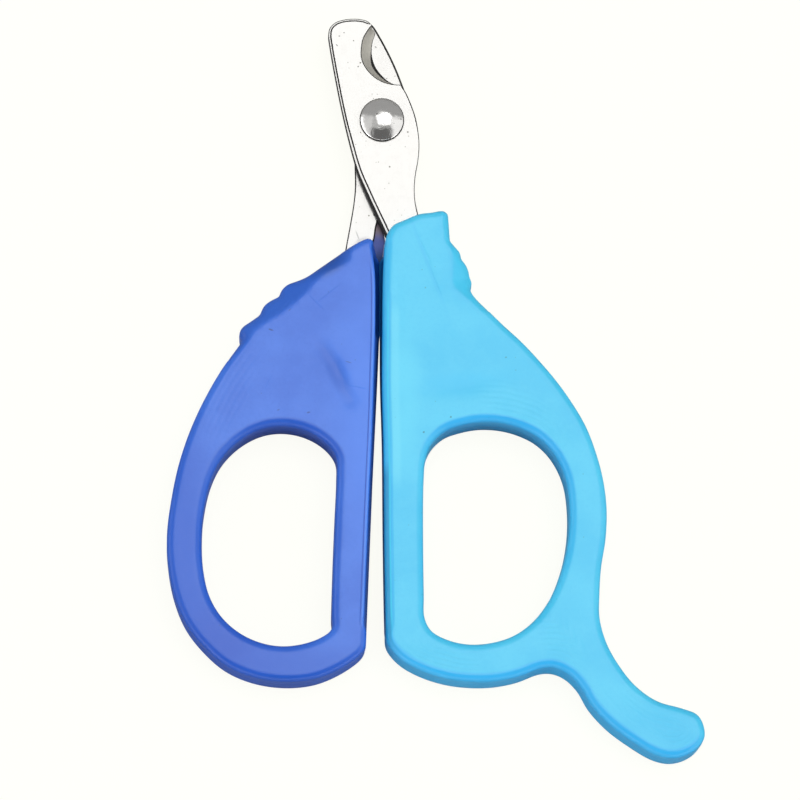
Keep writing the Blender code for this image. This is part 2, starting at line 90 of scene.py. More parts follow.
# ------------------------------------------------------------------ outlines
# A third entry "c" marks a corner; the rest of each outline is a smooth curve.
DARK_OUTER = [
    (-1.3, -21.3, "c"), (-2.2, -20.7), (-3.3, -21.1), (-5.8, -22.5), (-10.4, -25.8),
    (-12.6, -27.3), (-14.3, -28.0), (-15.8, -28.6), (-16.8, -29.6), (-17.2, -30.7, "c"),
    (-18.3, -31.2), (-19.7, -32.3), (-20.4, -33.9, "c"), (-21.9, -35.0), (-23.4, -36.1),
    (-23.8, -37.2), (-23.5, -38.2), (-23.4, -38.6, "c"), (-25.0, -40.9), (-26.7, -43.4),
    (-28.7, -46.9), (-30.7, -51.0), (-32.4, -55.3), (-33.8, -60.0), (-34.8, -65.1),
    (-35.5, -70.9), (-35.3, -76.3), (-34.2, -81.7), (-32.2, -86.4), (-29.0, -90.4),
    (-25.5, -93.3), (-20.9, -95.2), (-15.6, -95.9), (-10.7, -95.3), (-6.2, -93.3),
    (-3.2, -91.0), (-2.6, -89.9), (-2.5, -88.7, "c"), (-1.5, -62.7, "c"), (-0.4, -37.7),
    (-0.35, -33.7), (-0.35, -29.7), (-0.45, -26.7), (-0.8, -23.7),
]
DARK_LOOP = [
    (-29.7, -72.8), (-29.4, -67.6), (-28.3, -62.4), (-26.7, -58.9), (-24.5, -56.3),
    (-21.9, -54.4), (-19.2, -53.3), (-16.2, -53.0), (-13.3, -53.5), (-10.7, -54.7),
    (-8.7, -56.4), (-7.6, -58.3), (-7.5, -61.2), (-7.8, -68.7), (-8.1, -76.7),
    (-8.3, -84.7), (-8.3, -86.9), (-10.0, -88.3), (-13.0, -89.4), (-16.5, -89.8),
    (-20.0, -89.2), (-23.4, -87.6), (-26.4, -84.9), (-28.4, -81.4), (-29.4, -77.1),
]
LIGHT_OUTER = [
    (0.5, -21.1), (0.9, -19.8), (1.9, -18.4), (3.4, -17.7), (6.2, -16.5), (8.4, -16.2),
    (10.2, -15.9), (11.1, -16.4, "c"), (11.3, -19.2), (11.4, -21.1, "c"), (12.3, -22.1),
    (13.1, -23.0), (13.3, -24.1, "c"), (14.1, -25.0), (14.6, -26.3), (14.7, -27.1, "c"),
    (15.1, -28.1), (14.85, -29.4), (15.6, -30.7), (17.6, -32.8), (20.4, -35.6),
    (23.1, -38.1), (25.9, -41.1), (29.0, -44.8), (31.6, -48.5), (33.9, -52.5),
    (35.5, -56.7), (36.7, -61.3), (37.3, -66.3), (37.1, -71.5), (36.3, -76.5),
    (36.0, -80.9), (36.0, -84.9), (37.1, -89.0), (39.1, -92.7), (41.8, -96.1),
    (45.3, -98.6), (49.4, -99.8), (51.9, -100.8), (52.9, -102.4), (53.1, -104.7),
    (51.7, -106.7), (49.5, -107.9), (47.3, -108.2), (44.6, -107.5), (40.9, -105.3),
    (37.3, -102.6), (34.3, -99.3), (32.5, -96.2), (30.5, -94.2), (28.4, -93.3),
    (26.2, -93.4), (22.5, -94.8), (18.6, -95.6), (14.6, -95.7), (10.6, -95.2), (6.7, -94.0),
    (3.5, -92.3), (1.6, -90.5), (0.75, -89.0), (0.6, -86.2), (0.35, -72.7), (0.2, -56.7),
    (-0.05, -46.7), (-0.05, -38.7), (0.0, -30.7), (0.1, -26.3), (0.25, -23.3),
]
LIGHT_LOOP = [
    (7.0, -61.7), (7.3, -58.3), (8.4, -55.7), (10.5, -53.7), (13.1, -52.7), (16.2, -52.1),
    (19.6, -52.2), (22.8, -53.0), (25.9, -54.6), (28.4, -57.2), (30.3, -61.2),
    (31.0, -66.3), (30.8, -71.5), (29.7, -76.7), (27.7, -81.7), (24.9, -85.5),
    (21.6, -87.9), (17.8, -89.1), (14.0, -89.3), (10.6, -88.5), (8.2, -87.1), (7.1, -84.9),
    (7.0, -81.2), (6.9, -72.7), (6.9, -65.7),
]

# Front blade, in order: top of the notch over the tip, down the back edge,
# round the tang, up the right edge to the bottom of the notch.
FRONT_EDGE = [
    (-1.7, 16.6, "c"), (-2.4, 17.3), (-3.6, 17.65), (-5.1, 17.7), (-6.6, 17.5),
    (-7.9, 17.0), (-8.8, 16.05), (-9.05, 14.85), (-8.8, 12.75), (-7.7, 6.5), (-6.8, 1.95),
    (-5.7, -2.9), (-4.7, -6.8), (-3.8, -9.9), (-2.4, -13.35), (-1.1, -16.2), (0.2, -19.0),
    (1.2, -21.45), (2.2, -25.65), (3.0, -31.65), (3.6, -38.65), (4.4, -43.25),
    (6.0, -44.85), (8.2, -44.45), (9.2, -42.25), (8.8, -36.65), (7.8, -28.65),
    (6.9, -20.65), (6.1, -16.3), (5.6, -13.85), (5.5, -11.55), (5.7, -9.3), (6.1, -7.0),
    (6.3, -4.75), (6.2, -2.5), (5.7, 0.5), (4.9, 2.9), (4.0, 4.95), (3.2, 6.2, "c"),
]
FRONT_NOTCH_CUT = [
    (3.2, 6.2), (2.3, 6.6), (1.1, 7.2), (-0.1, 8.35), (-1.0, 9.6), (-1.6, 11.35),
    (-1.7, 12.75), (-1.5, 14.2), (-1.1, 15.65), (-1.7, 16.5),
]
FRONT_NOTCH_FACE = [
    (3.2, 6.2), (2.2, 6.25), (0.6, 6.55), (-1.3, 7.6), (-2.8, 9.35), (-3.4, 10.9),
    (-3.4, 12.65), (-3.1, 14.2), (-2.5, 15.35), (-1.7, 16.5),
]

# Rear blade, in order: hook over the tip, down its back edge on the right,
# round the tang, up the left edge to the bottom of the notch.
REAR_EDGE = [
    (-6.9, 16.4, "c"), (-6.4, 17.5), (-5.3, 18.0), (-3.9, 18.15), (-2.6, 17.8),
    (-1.5, 17.0), (-0.1, 14.75), (1.4, 11.85), (2.6, 9.15), (3.6, 6.5), (4.4, 4.1),
    (4.8, 1.25), (4.7, -1.85), (3.9, -5.35), (2.7, -8.9), (1.2, -12.6), (-0.2, -15.9),
    (-0.85, -17.95), (-1.1, -19.65), (-1.7, -22.25), (-2.2, -26.25, "c"), (-2.6, -31.65),
    (-3.2, -38.65), (-3.8, -43.05), (-5.2, -44.85), (-7.4, -44.45), (-8.6, -42.25),
    (-8.2, -36.65), (-7.1, -28.65), (-6.1, -22.25), (-5.2, -17.15), (-4.7, -13.95),
    (-4.45, -10.95), (-4.5, -7.65), (-4.6, -4.15), (-4.9, -0.5), (-5.2, 2.45),
    (-5.6, 5.05, "c"),
]
REAR_NOTCH_CUT = [
    (-5.6, 5.05), (-4.5, 6.1), (-3.6, 7.4), (-3.0, 9.15), (-2.85, 11.1), (-3.1, 12.9),
    (-3.8, 14.4), (-4.9, 15.55), (-5.9, 16.05), (-6.9, 16.4),
]
REAR_NOTCH_FACE = [
    (-5.6, 5.05), (-4.1, 5.35), (-2.6, 6.5), (-1.6, 8.35), (-1.25, 10.6), (-1.4, 12.55),
    (-2.2, 14.3), (-3.7, 15.55), (-5.3, 16.15), (-6.9, 16.4),
]
# closing-stop tab beside the rear blade's neck, replacing REAR_EDGE's stretch
# from the neck down to the tang's corner
STOP_TAB = [
    (-0.2, -15.9), (-0.2, -17.75), (-0.05, -19.2), (-0.15, -20.85), (-0.4, -23.05),
    (-0.65, -24.65), (-1.3, -25.75), (-2.2, -26.25),
]

# The stop tab's seen edge, close beside the light handle.
TAB_SEEN = [
    (-0.2, -15.9), (0.05, -17.75), (0.42, -19.2), (0.62, -20.3), (0.46, -21.1),
    (0.36, -22.0), (0.22, -23.3), (0.12, -24.65), (0.05, -25.4), (-0.1, -26.0), (-2.2, -26.25),
]

# Faces that slope away beside the grip scallops: inner border of each slope.
DARK_GRIP = [
    (-1.4, -21.2), (-3.5, -21.5), (-4.9, -23.4), (-5.1, -24.8), (-7.0, -25.9), (-9.6, -27.3),
    (-11.6, -29.4), (-13.6, -31.6), (-16.2, -33.7), (-19.0, -35.6), (-20.9, -37.1),
    (-22.0, -38.8), (-23.3, -40.3), (-24.6, -41.6),
]
LIGHT_GRIP = [
    (10.3, -15.4), (10.2, -18.5), (10.7, -20.6), (11.4, -22.8), (11.6, -25.6), (11.65, -28.8),
    (12.9, -30.2), (14.6, -31.7), (17.0, -33.8),
]
# Soft hollows in the faces: start, end, width, depth.
DARK_DIMPLES = [
    ((-9.8, -39.8), (-5.4, -48.6), 1.3, 0.24), ((-7.8, -42.2), (-6.6, -44.8), 0.9, 0.16),
]
LIGHT_DIMPLES = [
    ((2.6, -29.6), (2.9, -37.2), 0.7, 0.10), ((8.2, -46.6), (15.2, -45.6), 1.9, 0.14),
    ((5.4, -19.4), (7.6, -24.6), 0.7, 0.06), ((7.6, -24.6), (10.2, -31.6), 0.7, 0.05),
    ((15.0, -45.8), (19.0, -44.6), 1.6, 0.07),
]


# -------------------------------------------------------------------- curves
def catmull(points, closed):
    """Centripetal Catmull-Rom curve through points, finely sampled."""
    p = [np.array(q, dtype=float) for q in points]
    n = len(p)
    out = []
    for i in range(n if closed else n - 1):
        p1, p2 = p[i], p[(i + 1) % n]
        p0 = p[(i - 1) % n] if (closed or i > 0) else 2 * p1 - p2
        p3 = p[(i + 2) % n] if (closed or i + 2 < n) else 2 * p2 - p1
        t0 = 0.0
        t1 = t0 + max(np.linalg.norm(p1 - p0), 1e-6) ** 0.5
        t2 = t1 + max(np.linalg.norm(p2 - p1), 1e-6) ** 0.5
        t3 = t2 + max(np.linalg.norm(p3 - p2), 1e-6) ** 0.5
        steps = max(6, int(math.ceil(np.linalg.norm(p2 - p1) / 0.1)))
        for k in range(steps):
            t = t1 + (t2 - t1) * k / steps
            a1 = (t1 - t) / (t1 - t0) * p0 + (t - t0) / (t1 - t0) * p1
            a2 = (t2 - t) / (t2 - t1) * p1 + (t - t1) / (t2 - t1) * p2
            a3 = (t3 - t) / (t3 - t2) * p2 + (t - t2) / (t3 - t2) * p3
            b1 = (t2 - t) / (t2 - t0) * a1 + (t - t0) / (t2 - t0) * a2
            b2 = (t3 - t) / (t3 - t1) * a2 + (t - t1) / (t3 - t1) * a3
            out.append((t2 - t) / (t2 - t1) * b1 + (t - t1) / (t2 - t1) * b2)
    if not closed:
        out.append(p[-1])
    return np.array(out)


def even(pts, step=None, count=None):
    """Points at equal steps along an open line, both ends kept."""
    seg = np.linalg.norm(np.diff(pts, axis=0), axis=1)
    s = np.concatenate([[0.0], np.cumsum(seg)])
    if count is None:
        count = max(1, int(round(s[-1] / step)))
    u = np.linspace(0.0, s[-1], count + 1)
    return np.stack([np.interp(u, s, pts[:, 0]), np.interp(u, s, pts[:, 1])], axis=1)


def area(p):
    q = np.roll(p, -1, axis=0)
    return 0.5 * float(np.sum(p[:, 0] * q[:, 1] - q[:, 0] * p[:, 1]))


def outline(points, step, rounds=2):
    """Closed even outline, counter-clockwise, its corners just broken."""
    corners = [i for i, q in enumerate(points) if len(q) > 2]
    xy = [q[:2] for q in points]
    if not corners:
        fine = catmull(xy, True)
        loop = even(np.vstack([fine, fine[:1]]), step)[:-1]
    else:
        xy = xy[corners[0]:] + xy[:corners[0]]
        marks = [c - corners[0] for c in corners] + [len(xy)]
        xy.append(xy[0])
        runs = [even(catmull(xy[a:b + 1], False), step)[:-1] for a, b in zip(marks[:-1], marks[1:])]
        loop = np.vstack(runs)
    for _ in range(rounds):
        loop = 0.5 * loop + 0.25 * (np.roll(loop, 1, axis=0) + np.roll(loop, -1, axis=0))
    return loop if area(loop) > 0 else loop[::-1].copy()


def inward(loop):
    """Unit normals to the left of travel (into a counter-clockwise loop)."""
    t = np.roll(loop, -1, axis=0) - np.roll(loop, 1, axis=0)
    t = t / np.linalg.norm(t, axis=1)[:, None]
    return np.stack([-t[:, 1], t[:, 0]], axis=1)


class Line:
    """A finely sampled line that can be asked for distances."""

    def __init__(self, pts, closed=True):
        self.pts, self.closed = np.asarray(pts, dtype=float), closed
        self.tree = KDTree(len(self.pts))
        for i, p in enumerate(self.pts):
            self.tree.insert((p[0], p[1], 0.0), i)
        self.tree.balance()

    def near(self, points):
        """Distance from each point, and the index of the nearest vertex."""
        find = self.tree.find
        index = np.array([find((x, y, 0.0))[1] for x, y in points], dtype=int)
        best = np.full(len(points), 1e9)
        n = len(self.pts)
        for shift in (-1, 0):
            i, j = index + shift, index + shift + 1
            if self.closed:
                i, j = i % n, j % n
            else:
                i, j = np.clip(i, 0, n - 1), np.clip(j, 0, n - 1)
            a = self.pts[i]
            ab = self.pts[j] - a
            t = np.sum((points - a) * ab, axis=1) / np.maximum(np.sum(ab * ab, axis=1), 1e-12)
            d = a + ab * np.clip(t, 0.0, 1.0)[:, None] - points
            best = np.minimum(best, np.sqrt(np.sum(d * d, axis=1)))
        return best, index

    def distance(self, points):
        return self.near(points)[0]


def from_segment(points, a, b):
    a, b = np.array(a, dtype=float), np.array(b, dtype=float)
    ab = b - a
    t = np.clip((points - a) @ ab / (ab @ ab), 0.0, 1.0)
    d = a + t[:, None] * ab - points
    return np.sqrt(np.sum(d * d, axis=1))


def within(points, loop):
    """Which points lie inside a closed loop."""
    a, b = loop, np.roll(loop, -1, axis=0)
    hit = np.zeros(len(points), dtype=bool)
    for p, q in zip(a, b):
        if p[1] == q[1]:
            continue
        cross = (p[1] > points[:, 1]) != (q[1] > points[:, 1])
        x = (q[0] - p[0]) * (points[:, 1] - p[1]) / (q[1] - p[1]) + p[0]
        hit ^= cross & (points[:, 0] < x)
    return hit


def smooth(x, lo, hi):
    t = np.clip((x - lo) / (hi - lo), 0.0, 1.0)
    return t * t * (3 - 2 * t)


# ------------------------------------------------------------------- meshes
def piece(name, verts, faces, mats, face_mats=None, angle=35.0, attributes=None):
    """One mesh object from points in mm, placed at the pivot."""
    v = np.array(verts, dtype=float)
    v = (v + np.array([PX, PY, 0.0])) * MM
    v = np.clip(v, np.array(cad_lo), np.array(cad_hi))
    mesh = bpy.data.meshes.new(name)
    mesh.from_pydata([tuple(p) for p in v], [], [tuple(int(i) for i in f) for f in faces])
    for m in mats:
        mesh.materials.append(m)
    if face_mats is not None:
        mesh.polygons.foreach_set("material_index", np.array(face_mats, dtype=np.int32))
    for key, values in (attributes or {}).items():
        layer = mesh.attributes.new(key, "FLOAT", "POINT")
        layer.data.foreach_set("value", np.array(values, dtype=np.float32))
    mesh.validate()
    bm = bmesh.new()
    bm.from_mesh(mesh)
    bmesh.ops.remove_doubles(bm, verts=bm.verts, dist=1e-7)
    bmesh.ops.recalc_face_normals(bm, faces=bm.faces)
    bm.to_mesh(mesh)
    bm.free()
    mesh.shade_smooth()
    mesh.set_sharp_from_angle(angle=math.radians(angle))
    obj = bpy.data.objects.new(name, mesh)
    bpy.context.scene.collection.objects.link(obj)
    return obj


def triangulate(points, loops):
    """Triangles over points; loops are index lists: the outside, then holes."""
    edges = []
    for ids in loops:
        edges += [(ids[i], ids[(i + 1) % len(ids)]) for i in range(len(ids))]
    res = delaunay_2d_cdt([Vector(p) for p in points], edges, [], 0, 1e-7)
    tris = np.array([t for t in res[2] if len(t) == 3], dtype=int)
    src = [ids[0] if ids else -1 for ids in res[3]]
    back = np.array(src)
    tris = back[tris]
    tris = tris[(tris >= 0).all(axis=1)]
    pts = np.array(points)
    mid = pts[tris].mean(axis=1)
    keep = within(mid, pts[loops[0]])
    for hole in loops[1:]:
        keep &= ~within(mid, pts[hole])
    tris = tris[keep]
    a, b, c = pts[tris[:, 0]], pts[tris[:, 1]], pts[tris[:, 2]]
    turn = (b[:, 0] - a[:, 0]) * (c[:, 1] - a[:, 1]) - (b[:, 1] - a[:, 1]) * (c[:, 0] - a[:, 0])
    tris[turn < 0] = tris[turn < 0][:, ::-1]
    return tris


def handle(name, outer_pts, loop_pts, shape, meet, lift, grip, grip_far, dimples, mat, step=0.3, grid=0.7):
    """Moulded handle: drafted walls to a parting line half-way up, rounded
    edges, a slope beside the grip scallops, soft hollows in the face.

    shape gives, at points of the outer edge, the rounding's width, the wall's
    draft, the rounding's depth and how much of the quarter turn it makes; meet
    gives how far the parting line stands out, where the wall above it stays
    upright and how much painted shade darkens the wall there; lift moves the
    parting line up where the two handles meet, so that one lies over the other."""
    part_outer = outline(outer_pts, step)
    part_hole = outline(loop_pts, step, 1)
    r_out, d_out, h_out, k_out = shape(part_outer)
    bulge_out, near_out, seam_shade_out = meet(part_outer)
    r_in, d_in = np.full(len(part_hole), LOOP_R), np.full(len(part_hole), 0.06)
    rim_out = part_outer + inward(part_outer) * d_out[:, None]
    rim_in = part_hole - inward(part_hole) * d_in[:, None]
    outer, hole = Line(rim_out), Line(rim_in)
    angles = [0.0, 14.0, 28.0, 42.0, 56.0, 70.0, 80.0, 90.0]

    grip_line = even(catmull(grip, False), 0.2)
    grip_edge = Line(grip_line, closed=False)
    grip_area = np.vstack([grip_line, np.array(grip_far)])

    def tone(side):
        """How much painted shade an edge facing that way gets."""
        return np.clip(0.25 - side[:, 1] - 0.35 * side[:, 0], 0.0, 1.0)

    def drop(p):
        d = np.where(within(p, grip_area), grip_edge.distance(p), 0.0)
        d = np.where(d < 0.25, d * d / 0.5, d - 0.125)
        return np.minimum(0.40 * d, 1.0)

    def sink(p):
        z = np.zeros(len(p))
        for a, b, w, depth in dimples:
            z += depth * np.exp(-(from_segment(p, a, b) / w) ** 2)
        return z

    def sheet(detailed, seed_grid, r_out, r_in):
        pts, ring_ids, start = [], [], 0
        for line, sign, radius in ((outer, 1.0, r_out), (hole, -1.0, r_in)):
            loop = line.pts
            nrm = inward(loop) * sign
            ring_ids.append(list(range(start, start + len(loop))))
            pts.append(loop)
            start += len(loop)
            for a in angles[1:]:
                d = radius * (1 - math.cos(math.radians(a)))
                ring = loop + nrm * d[:, None]
                own, other = (outer, hole) if sign > 0 else (hole, outer)
                keep = (own.distance(ring) > d * 0.97 - 1e-4) & (other.distance(ring) > d) & within(ring, outer.pts)
                ring = ring[keep]
                pts.append(ring)
                start += len(ring)
        lo, hi = outer.pts.min(axis=0), outer.pts.max(axis=0)
        gx, gy = np.meshgrid(np.arange(lo[0], hi[0], seed_grid),
                             np.arange(lo[1], hi[1], seed_grid * 0.866))
        gx = gx + (np.arange(gx.shape[0]) % 2)[:, None] * seed_grid * 0.5
        g = np.stack([gx.ravel(), gy.ravel()], axis=1)
        g = g[within(g, outer.pts) & ~within(g, hole.pts)]
        away, index = outer.near(g)
        g = g[(away > r_out[index] + 0.25) & (hole.distance(g) > r_in[0] + 0.25)]
        if detailed:
            g = g[grip_edge.distance(g) > 0.12]
            extra = grip_line[within(grip_line, outer.pts)]
            away, index = outer.near(extra)
            pts.append(extra[away > r_out[index] + 0.1])
        pts.append(g)
        return np.vstack(pts), ring_ids

    def height(p, top):
        a, index = outer.near(p)
        b = hole.distance(p)
        if not top:
            c = np.clip(1 - np.minimum(a, b) / UNDER_R, 0.0, 1.0)
            return UNDER_R * (1 - np.sqrt(1 - c * c))
        k = k_out[index]
        u = k * np.clip(1 - a / r_out[index], 0.0, 1.0)
        v = np.clip(1 - b / LOOP_R, 0.0, 1.0)
        z = np.maximum(h_out[index] * (1 - np.sqrt(1 - u * u)) / (1 - np.sqrt(1 - k * k)),
                       LOOP_R * (1 - np.sqrt(np.clip(1 - v * v, 0.0, 1.0))))
        return HANDLE_T - drop(p) - z - sink(p) * smooth(np.minimum(a, b), 0.0, 1.2)

    top, rings = sheet(True, grid, r_out, r_in)
    low, rings_low = sheet(False, grid * 2.4, np.full(len(r_out), UNDER_R), np.full(len(r_in), UNDER_R))
    verts = [np.column_stack([top, height(top, True)]), np.column_stack([low, height(low, False)])]
    faces = [list(t) for t in triangulate(top, rings)]
    n = len(top)
    faces += [[i + n for i in t[::-1]] for t in triangulate(low, rings_low)]
    base = n + len(low)
    # walls, drafted both ways from a fine raised parting line half-way up
    mid = HANDLE_T / 2
    deep = []
    none_in = np.zeros(len(part_hole))
    for k, (loop, draft, bulge, near, seam_shade) in enumerate((
            (part_outer, d_out, bulge_out, near_out, seam_shade_out), (part_hole, d_in, none_in, none_in, none_in))):
        m = len(loop)
        ridge = mid + lift * near
        nrm = inward(loop) * (1.0 if k == 0 else -1.0)
        z_top = verts[0][rings[k], 2]
        z_low = verts[1][rings_low[k], 2]

        def wall(f):
            """Inset of the wall at a fraction of the way from the parting line."""
            plain = draft * f + 0.015 * (1 - f) - bulge * (1 - f) ** 3
            upright = draft - (draft + bulge) * max(0.0, 1 - f / 0.45) ** 2
            return plain * (1 - near) + upright * near

        levels = []
        for f in (0.96, 0.75, 0.5, 0.3, 0.14, 0.045):
            levels.append((wall(f), z_low + (ridge - z_low) * (1 - f)))
        levels.append((-bulge, ridge - 0.05))
        levels.append((-bulge, ridge + 0.05))
        for f in (0.045, 0.14, 0.3, 0.5, 0.75):
            levels.append((wall(f), ridge + (z_top - ridge) * f))
        chain = [np.array(rings_low[k]) + n]
        for level, (off, z) in enumerate(levels):
            verts.append(np.column_stack([loop + nrm * off[:, None], z]))
            last = level == len(levels) - 1
            # painted shade: meet's amount on the walls beside the other handle, and a painted contact shadow on the
            # lowest level of every wall
            deep.append(np.maximum(seam_shade * (0.75 if last else 1.0), 0.35 if level == 0 else 0.0))
            chain.append(np.arange(m) + base)
            base += m
        chain.append(np.array(rings[k]))
        for a, b in zip(chain[:-1], chain[1:]):
            for i in range(m):
                j = (i + 1) % m
                q = [a[i], a[j], b[j], b[i]]
                faces.append(q if k == 0 else q[::-1])
    v = np.vstack(verts)
    flat = v[:, :2]
    # weights for painted shade on edges and loop rims that face towards -y and -x, away from the light
    from_edge, index = outer.near(flat)
    edge_painted_shade = tone(-inward(outer.pts)[index])
    from_loop, index = hole.near(flat)
    loop_painted_shade = tone(inward(hole.pts)[index])
    attributes = {"from_edge": from_edge, "from_loop": from_loop, "edge_painted_shade": edge_painted_shade, "loop_painted_shade": loop_painted_shade,
                  "painted_seam_shade": np.concatenate([np.zeros(n + len(low))] + deep),
                  "grip": np.concatenate([np.clip(drop(top) / 0.2, 0.0, 1.0), np.zeros(len(v) - n)])}
    return piece(name, v, faces, [mat], angle=50.0, attributes=attributes)


MEET_X = -0.32                      # where the closed handles' parting lines meet
LIFT = 0.25                         # how far one lies above the other's there


def wave_in(y, lo, hi, soft):
    """1 for y between lo and hi, fading over soft at each end."""
    return smooth(y, lo - soft, lo) * (1 - smooth(y, hi, hi + soft))


def dark_shape(p):
    inner = np.where(p[:, 0] > -3.2, 1.0, 0.0) * wave_in(p[:, 1], -86.0, -22.6, 1.6)
    near = inner * smooth(p[:, 1], -56.0, -38.0)
    r = EDGE_R - 0.77 * inner
    return r, 0.05 + 0.50 * inner + 0.22 * near, r, np.full(len(p), 1.0)


def dark_meet(p):
    inner = np.where(p[:, 0] > -3.2, 1.0, 0.0) * wave_in(p[:, 1], -87.0, -24.6, 1.4)
    near = inner * smooth(p[:, 1], -38.2, -36.4)
    bulge = near * np.clip(MEET_X + 0.04 - p[:, 0], 0.0, 0.6)
    # the third value is how much painted shade darkens the wall in the gap between the handles
    return bulge, near, inner * (0.50 + 0.25 * smooth(p[:, 1], -56.0, -40.0) + 0.25 * near)


def light_shape(p):
    inner = np.where(p[:, 0] < 2.0, 1.0, 0.0) * wave_in(p[:, 1], -86.0, -22.6, 1.6)
    return EDGE_R + 0.30 * inner, 0.05 + 0.03 * inner, EDGE_R - 0.35 * inner, 1.0 - 0.14 * inner


def light_meet(p):
    inner = np.where(p[:, 0] < 2.0, 1.0, 0.0) * wave_in(p[:, 1], -87.0, -24.6, 1.4)
    near = inner * smooth(p[:, 1], -38.2, -36.4)
    apart = inner * (0.13 + 0.12 * smooth(p[:, 1], -52.0, -38.0))
    bulge = np.maximum(near * np.clip(p[:, 0] - MEET_X + 0.04, 0.0, 0.6), apart)
    # the third value is how much painted shade darkens the wall in the gap between the handles
    return bulge, near, inner * (0.70 + 0.30 * smooth(p[:, 1], -60.0, -36.0))


def blade(name, mats, edge, cut, face, z_cut, z_face, rim, strip, line, tab=None):
    """Stamped plate with a ground notch.  rim, strip and line give, at points
    of the outline, the widths of the sheared rim, of the narrow bevel and of
    the step between the bevel and the polished face; the rim and the walls
    take a near-black colour that is painted shade."""
    marks = [i for i, q in enumerate(edge) if len(q) > 2]
    xy = [q[:2] for q in edge]
    runs = [even(catmull(xy[a:b + 1], False), 0.22)[:-1] for a, b in zip(marks[:-1], marks[1:])]
    body = np.vstack(runs)
    steps = 90
    nc = even(catmull(cut, False), count=steps)[:-1]
    nf = even(catmull(face, False), count=steps)[:-1]
    a, b = np.vstack([body, nc]), np.vstack([body, nf])
    notch = np.zeros(len(a), dtype=bool)
    notch[len(body):] = True
    along = np.zeros(len(a))
    along[len(body):] = np.arange(steps) / steps
    if area(a) < 0:
        a, b, notch, along = a[::-1].copy(), b[::-1].copy(), notch[::-1].copy(), along[::-1].copy()
    n = len(a)
    nrm, mouth = inward(a), inward(b)
    for _ in range(3):
        nrm = 0.5 * nrm + 0.25 * (np.roll(nrm, 1, axis=0) + np.roll(nrm, -1, axis=0))
        nrm /= np.linalg.norm(nrm, axis=1)[:, None]
    ends = np.minimum(np.linalg.norm(a - np.array(edge[0][:2]), axis=1),
                      np.linalg.norm(a - np.array(edge[-1][:2]), axis=1))
    fade = np.where(notch, 0.0, smooth(ends, 0.0, 0.9))
    r = np.maximum(rim(a) * np.where(notch, 0.0, smooth(ends, 0.0, 0.3)), 0.012)
    w = np.maximum(strip(a) * fade, 0.008)
    s = np.maximum(line(a) * fade, 0.008)
    height = abs(z_face - z_cut)
    sign = 1.0 if z_face > z_cut else -1.0

    def at(off, z):
        off = np.broadcast_to(np.asarray(off, dtype=float), (n,))
        return np.column_stack([a + nrm * off[:, None], z_cut + sign * np.broadcast_to(z, (n,))])

    if tab is None:                             # polished face up, notch cut from the face
        fall = 0.06 * w + 0.55 * s
        rings = [
            at(0.05 * fade, 0.0), at(0.0, 0.06), at(0.0, height * 0.5),
            at(0.0, height - fall - 0.75 * r), at(r, height - fall),
            at(r + w, height - 0.55 * s), at(r + w + 0.8 * s, height - 0.02 * fade), at(r + w + s, height),
        ]
        strips = [1, 1, 1, 1, 2, 1, 1]
    else:                                       # cutting face up, stop tab at the far side
        wide = a.copy()
        curve = catmull(tab, False)
        top, low = tab[0][1], tab[-1][1]
        for i in range(n):
            x, y = a[i]
            if low < y < top and x > -2.6 and not notch[i]:
                k = int(np.argmin(np.abs(curve[:, 1] - y)))
                wide[i, 0] = max(x, curve[k, 0])
        rings = [
            at(r, 0.0), at(0.25 * r, 0.05), at(0.0, 0.12), at(0.0, height - STOP_TAB_T),
            np.column_stack([wide, np.full(n, z_cut + sign * (height - STOP_TAB_T + 1e-3))]),
            np.column_stack([wide, np.full(n, z_cut + sign * (height - 0.5))]),
            np.column_stack([wide, np.full(n, z_cut + sign * (height - 0.25))]),
            np.column_stack([wide + nrm * (0.25 * fade)[:, None], np.full(n, z_cut + sign * height)]),
        ]
        strips = [1, 1, 1, 3, 3, 3, 0]
    # the cutting edge's land takes the near-black rim material: painted shadow of the gap onto the rear blade, widest
    # on the notch's lower half
    shadowed_land = 0.06 + 0.27 * (smooth(along, -0.05, 0.10) * (1 - smooth(along, 0.42, 0.70)))
    for k, f in enumerate([None, 0.0, 0.10, 0.32, 0.56, 0.80, 1.0, 1.0]):
        g = np.zeros(n) if f is None else shadowed_land + (1 - shadowed_land) * f
        pos = a + (b - a) * g[:, None]
        rise = height * g ** 1.35
        if k == 6:
            rise = rise - 0.05
        if k == 7:
            pos = pos + mouth * 0.15
        rings[k][notch, :2] = pos[notch]
        rings[k][notch, 2] = (z_cut + sign * rise)[notch]
    notch_strips = [1, 4, 4, 4, 4, 4, 1]
    verts = list(rings)
    flip = sign < 0
    faces, fm = [], []
    for k in range(len(rings) - 1):
        for i in range(n):
            j = (i + 1) % n
            q = [k * n + i, k * n + j, (k + 1) * n + j, (k + 1) * n + i]
            faces.append(q[::-1] if flip else q)
            fm.append(notch_strips[k] if (notch[i] and notch[j]) else strips[k])
    count = len(rings) * n
    m = 64
    hole = np.array([[math.cos(2 * math.pi * t / m), math.sin(2 * math.pi * t / m)] for t in range(m)]) * PIVOT_HOLE_R
    verts += [np.column_stack([hole, np.full(m, z_cut)]), np.column_stack([hole, np.full(m, z_face)])]
    for i in range(m):
        j = (i + 1) % m
        q = [count + i, count + m + i, count + m + j, count + j]
        faces.append(q[::-1] if flip else q)
        fm.append(1)
    v = np.vstack(verts)
    for ring_start, hole_start in ((0, count), ((len(rings) - 1) * n, count + m)):
        ids = np.concatenate([np.arange(n) + ring_start, np.arange(m) + hole_start])
        up = (ring_start != 0) != flip
        for t in triangulate(v[ids, :2], [list(range(n)), list(range(n, n + m))]):
            t = ids[t]
            faces.append(list(t) if up else list(t[::-1]))
            fm.append(0)
    return piece(name, v, faces, mats, fm, angle=13.0)


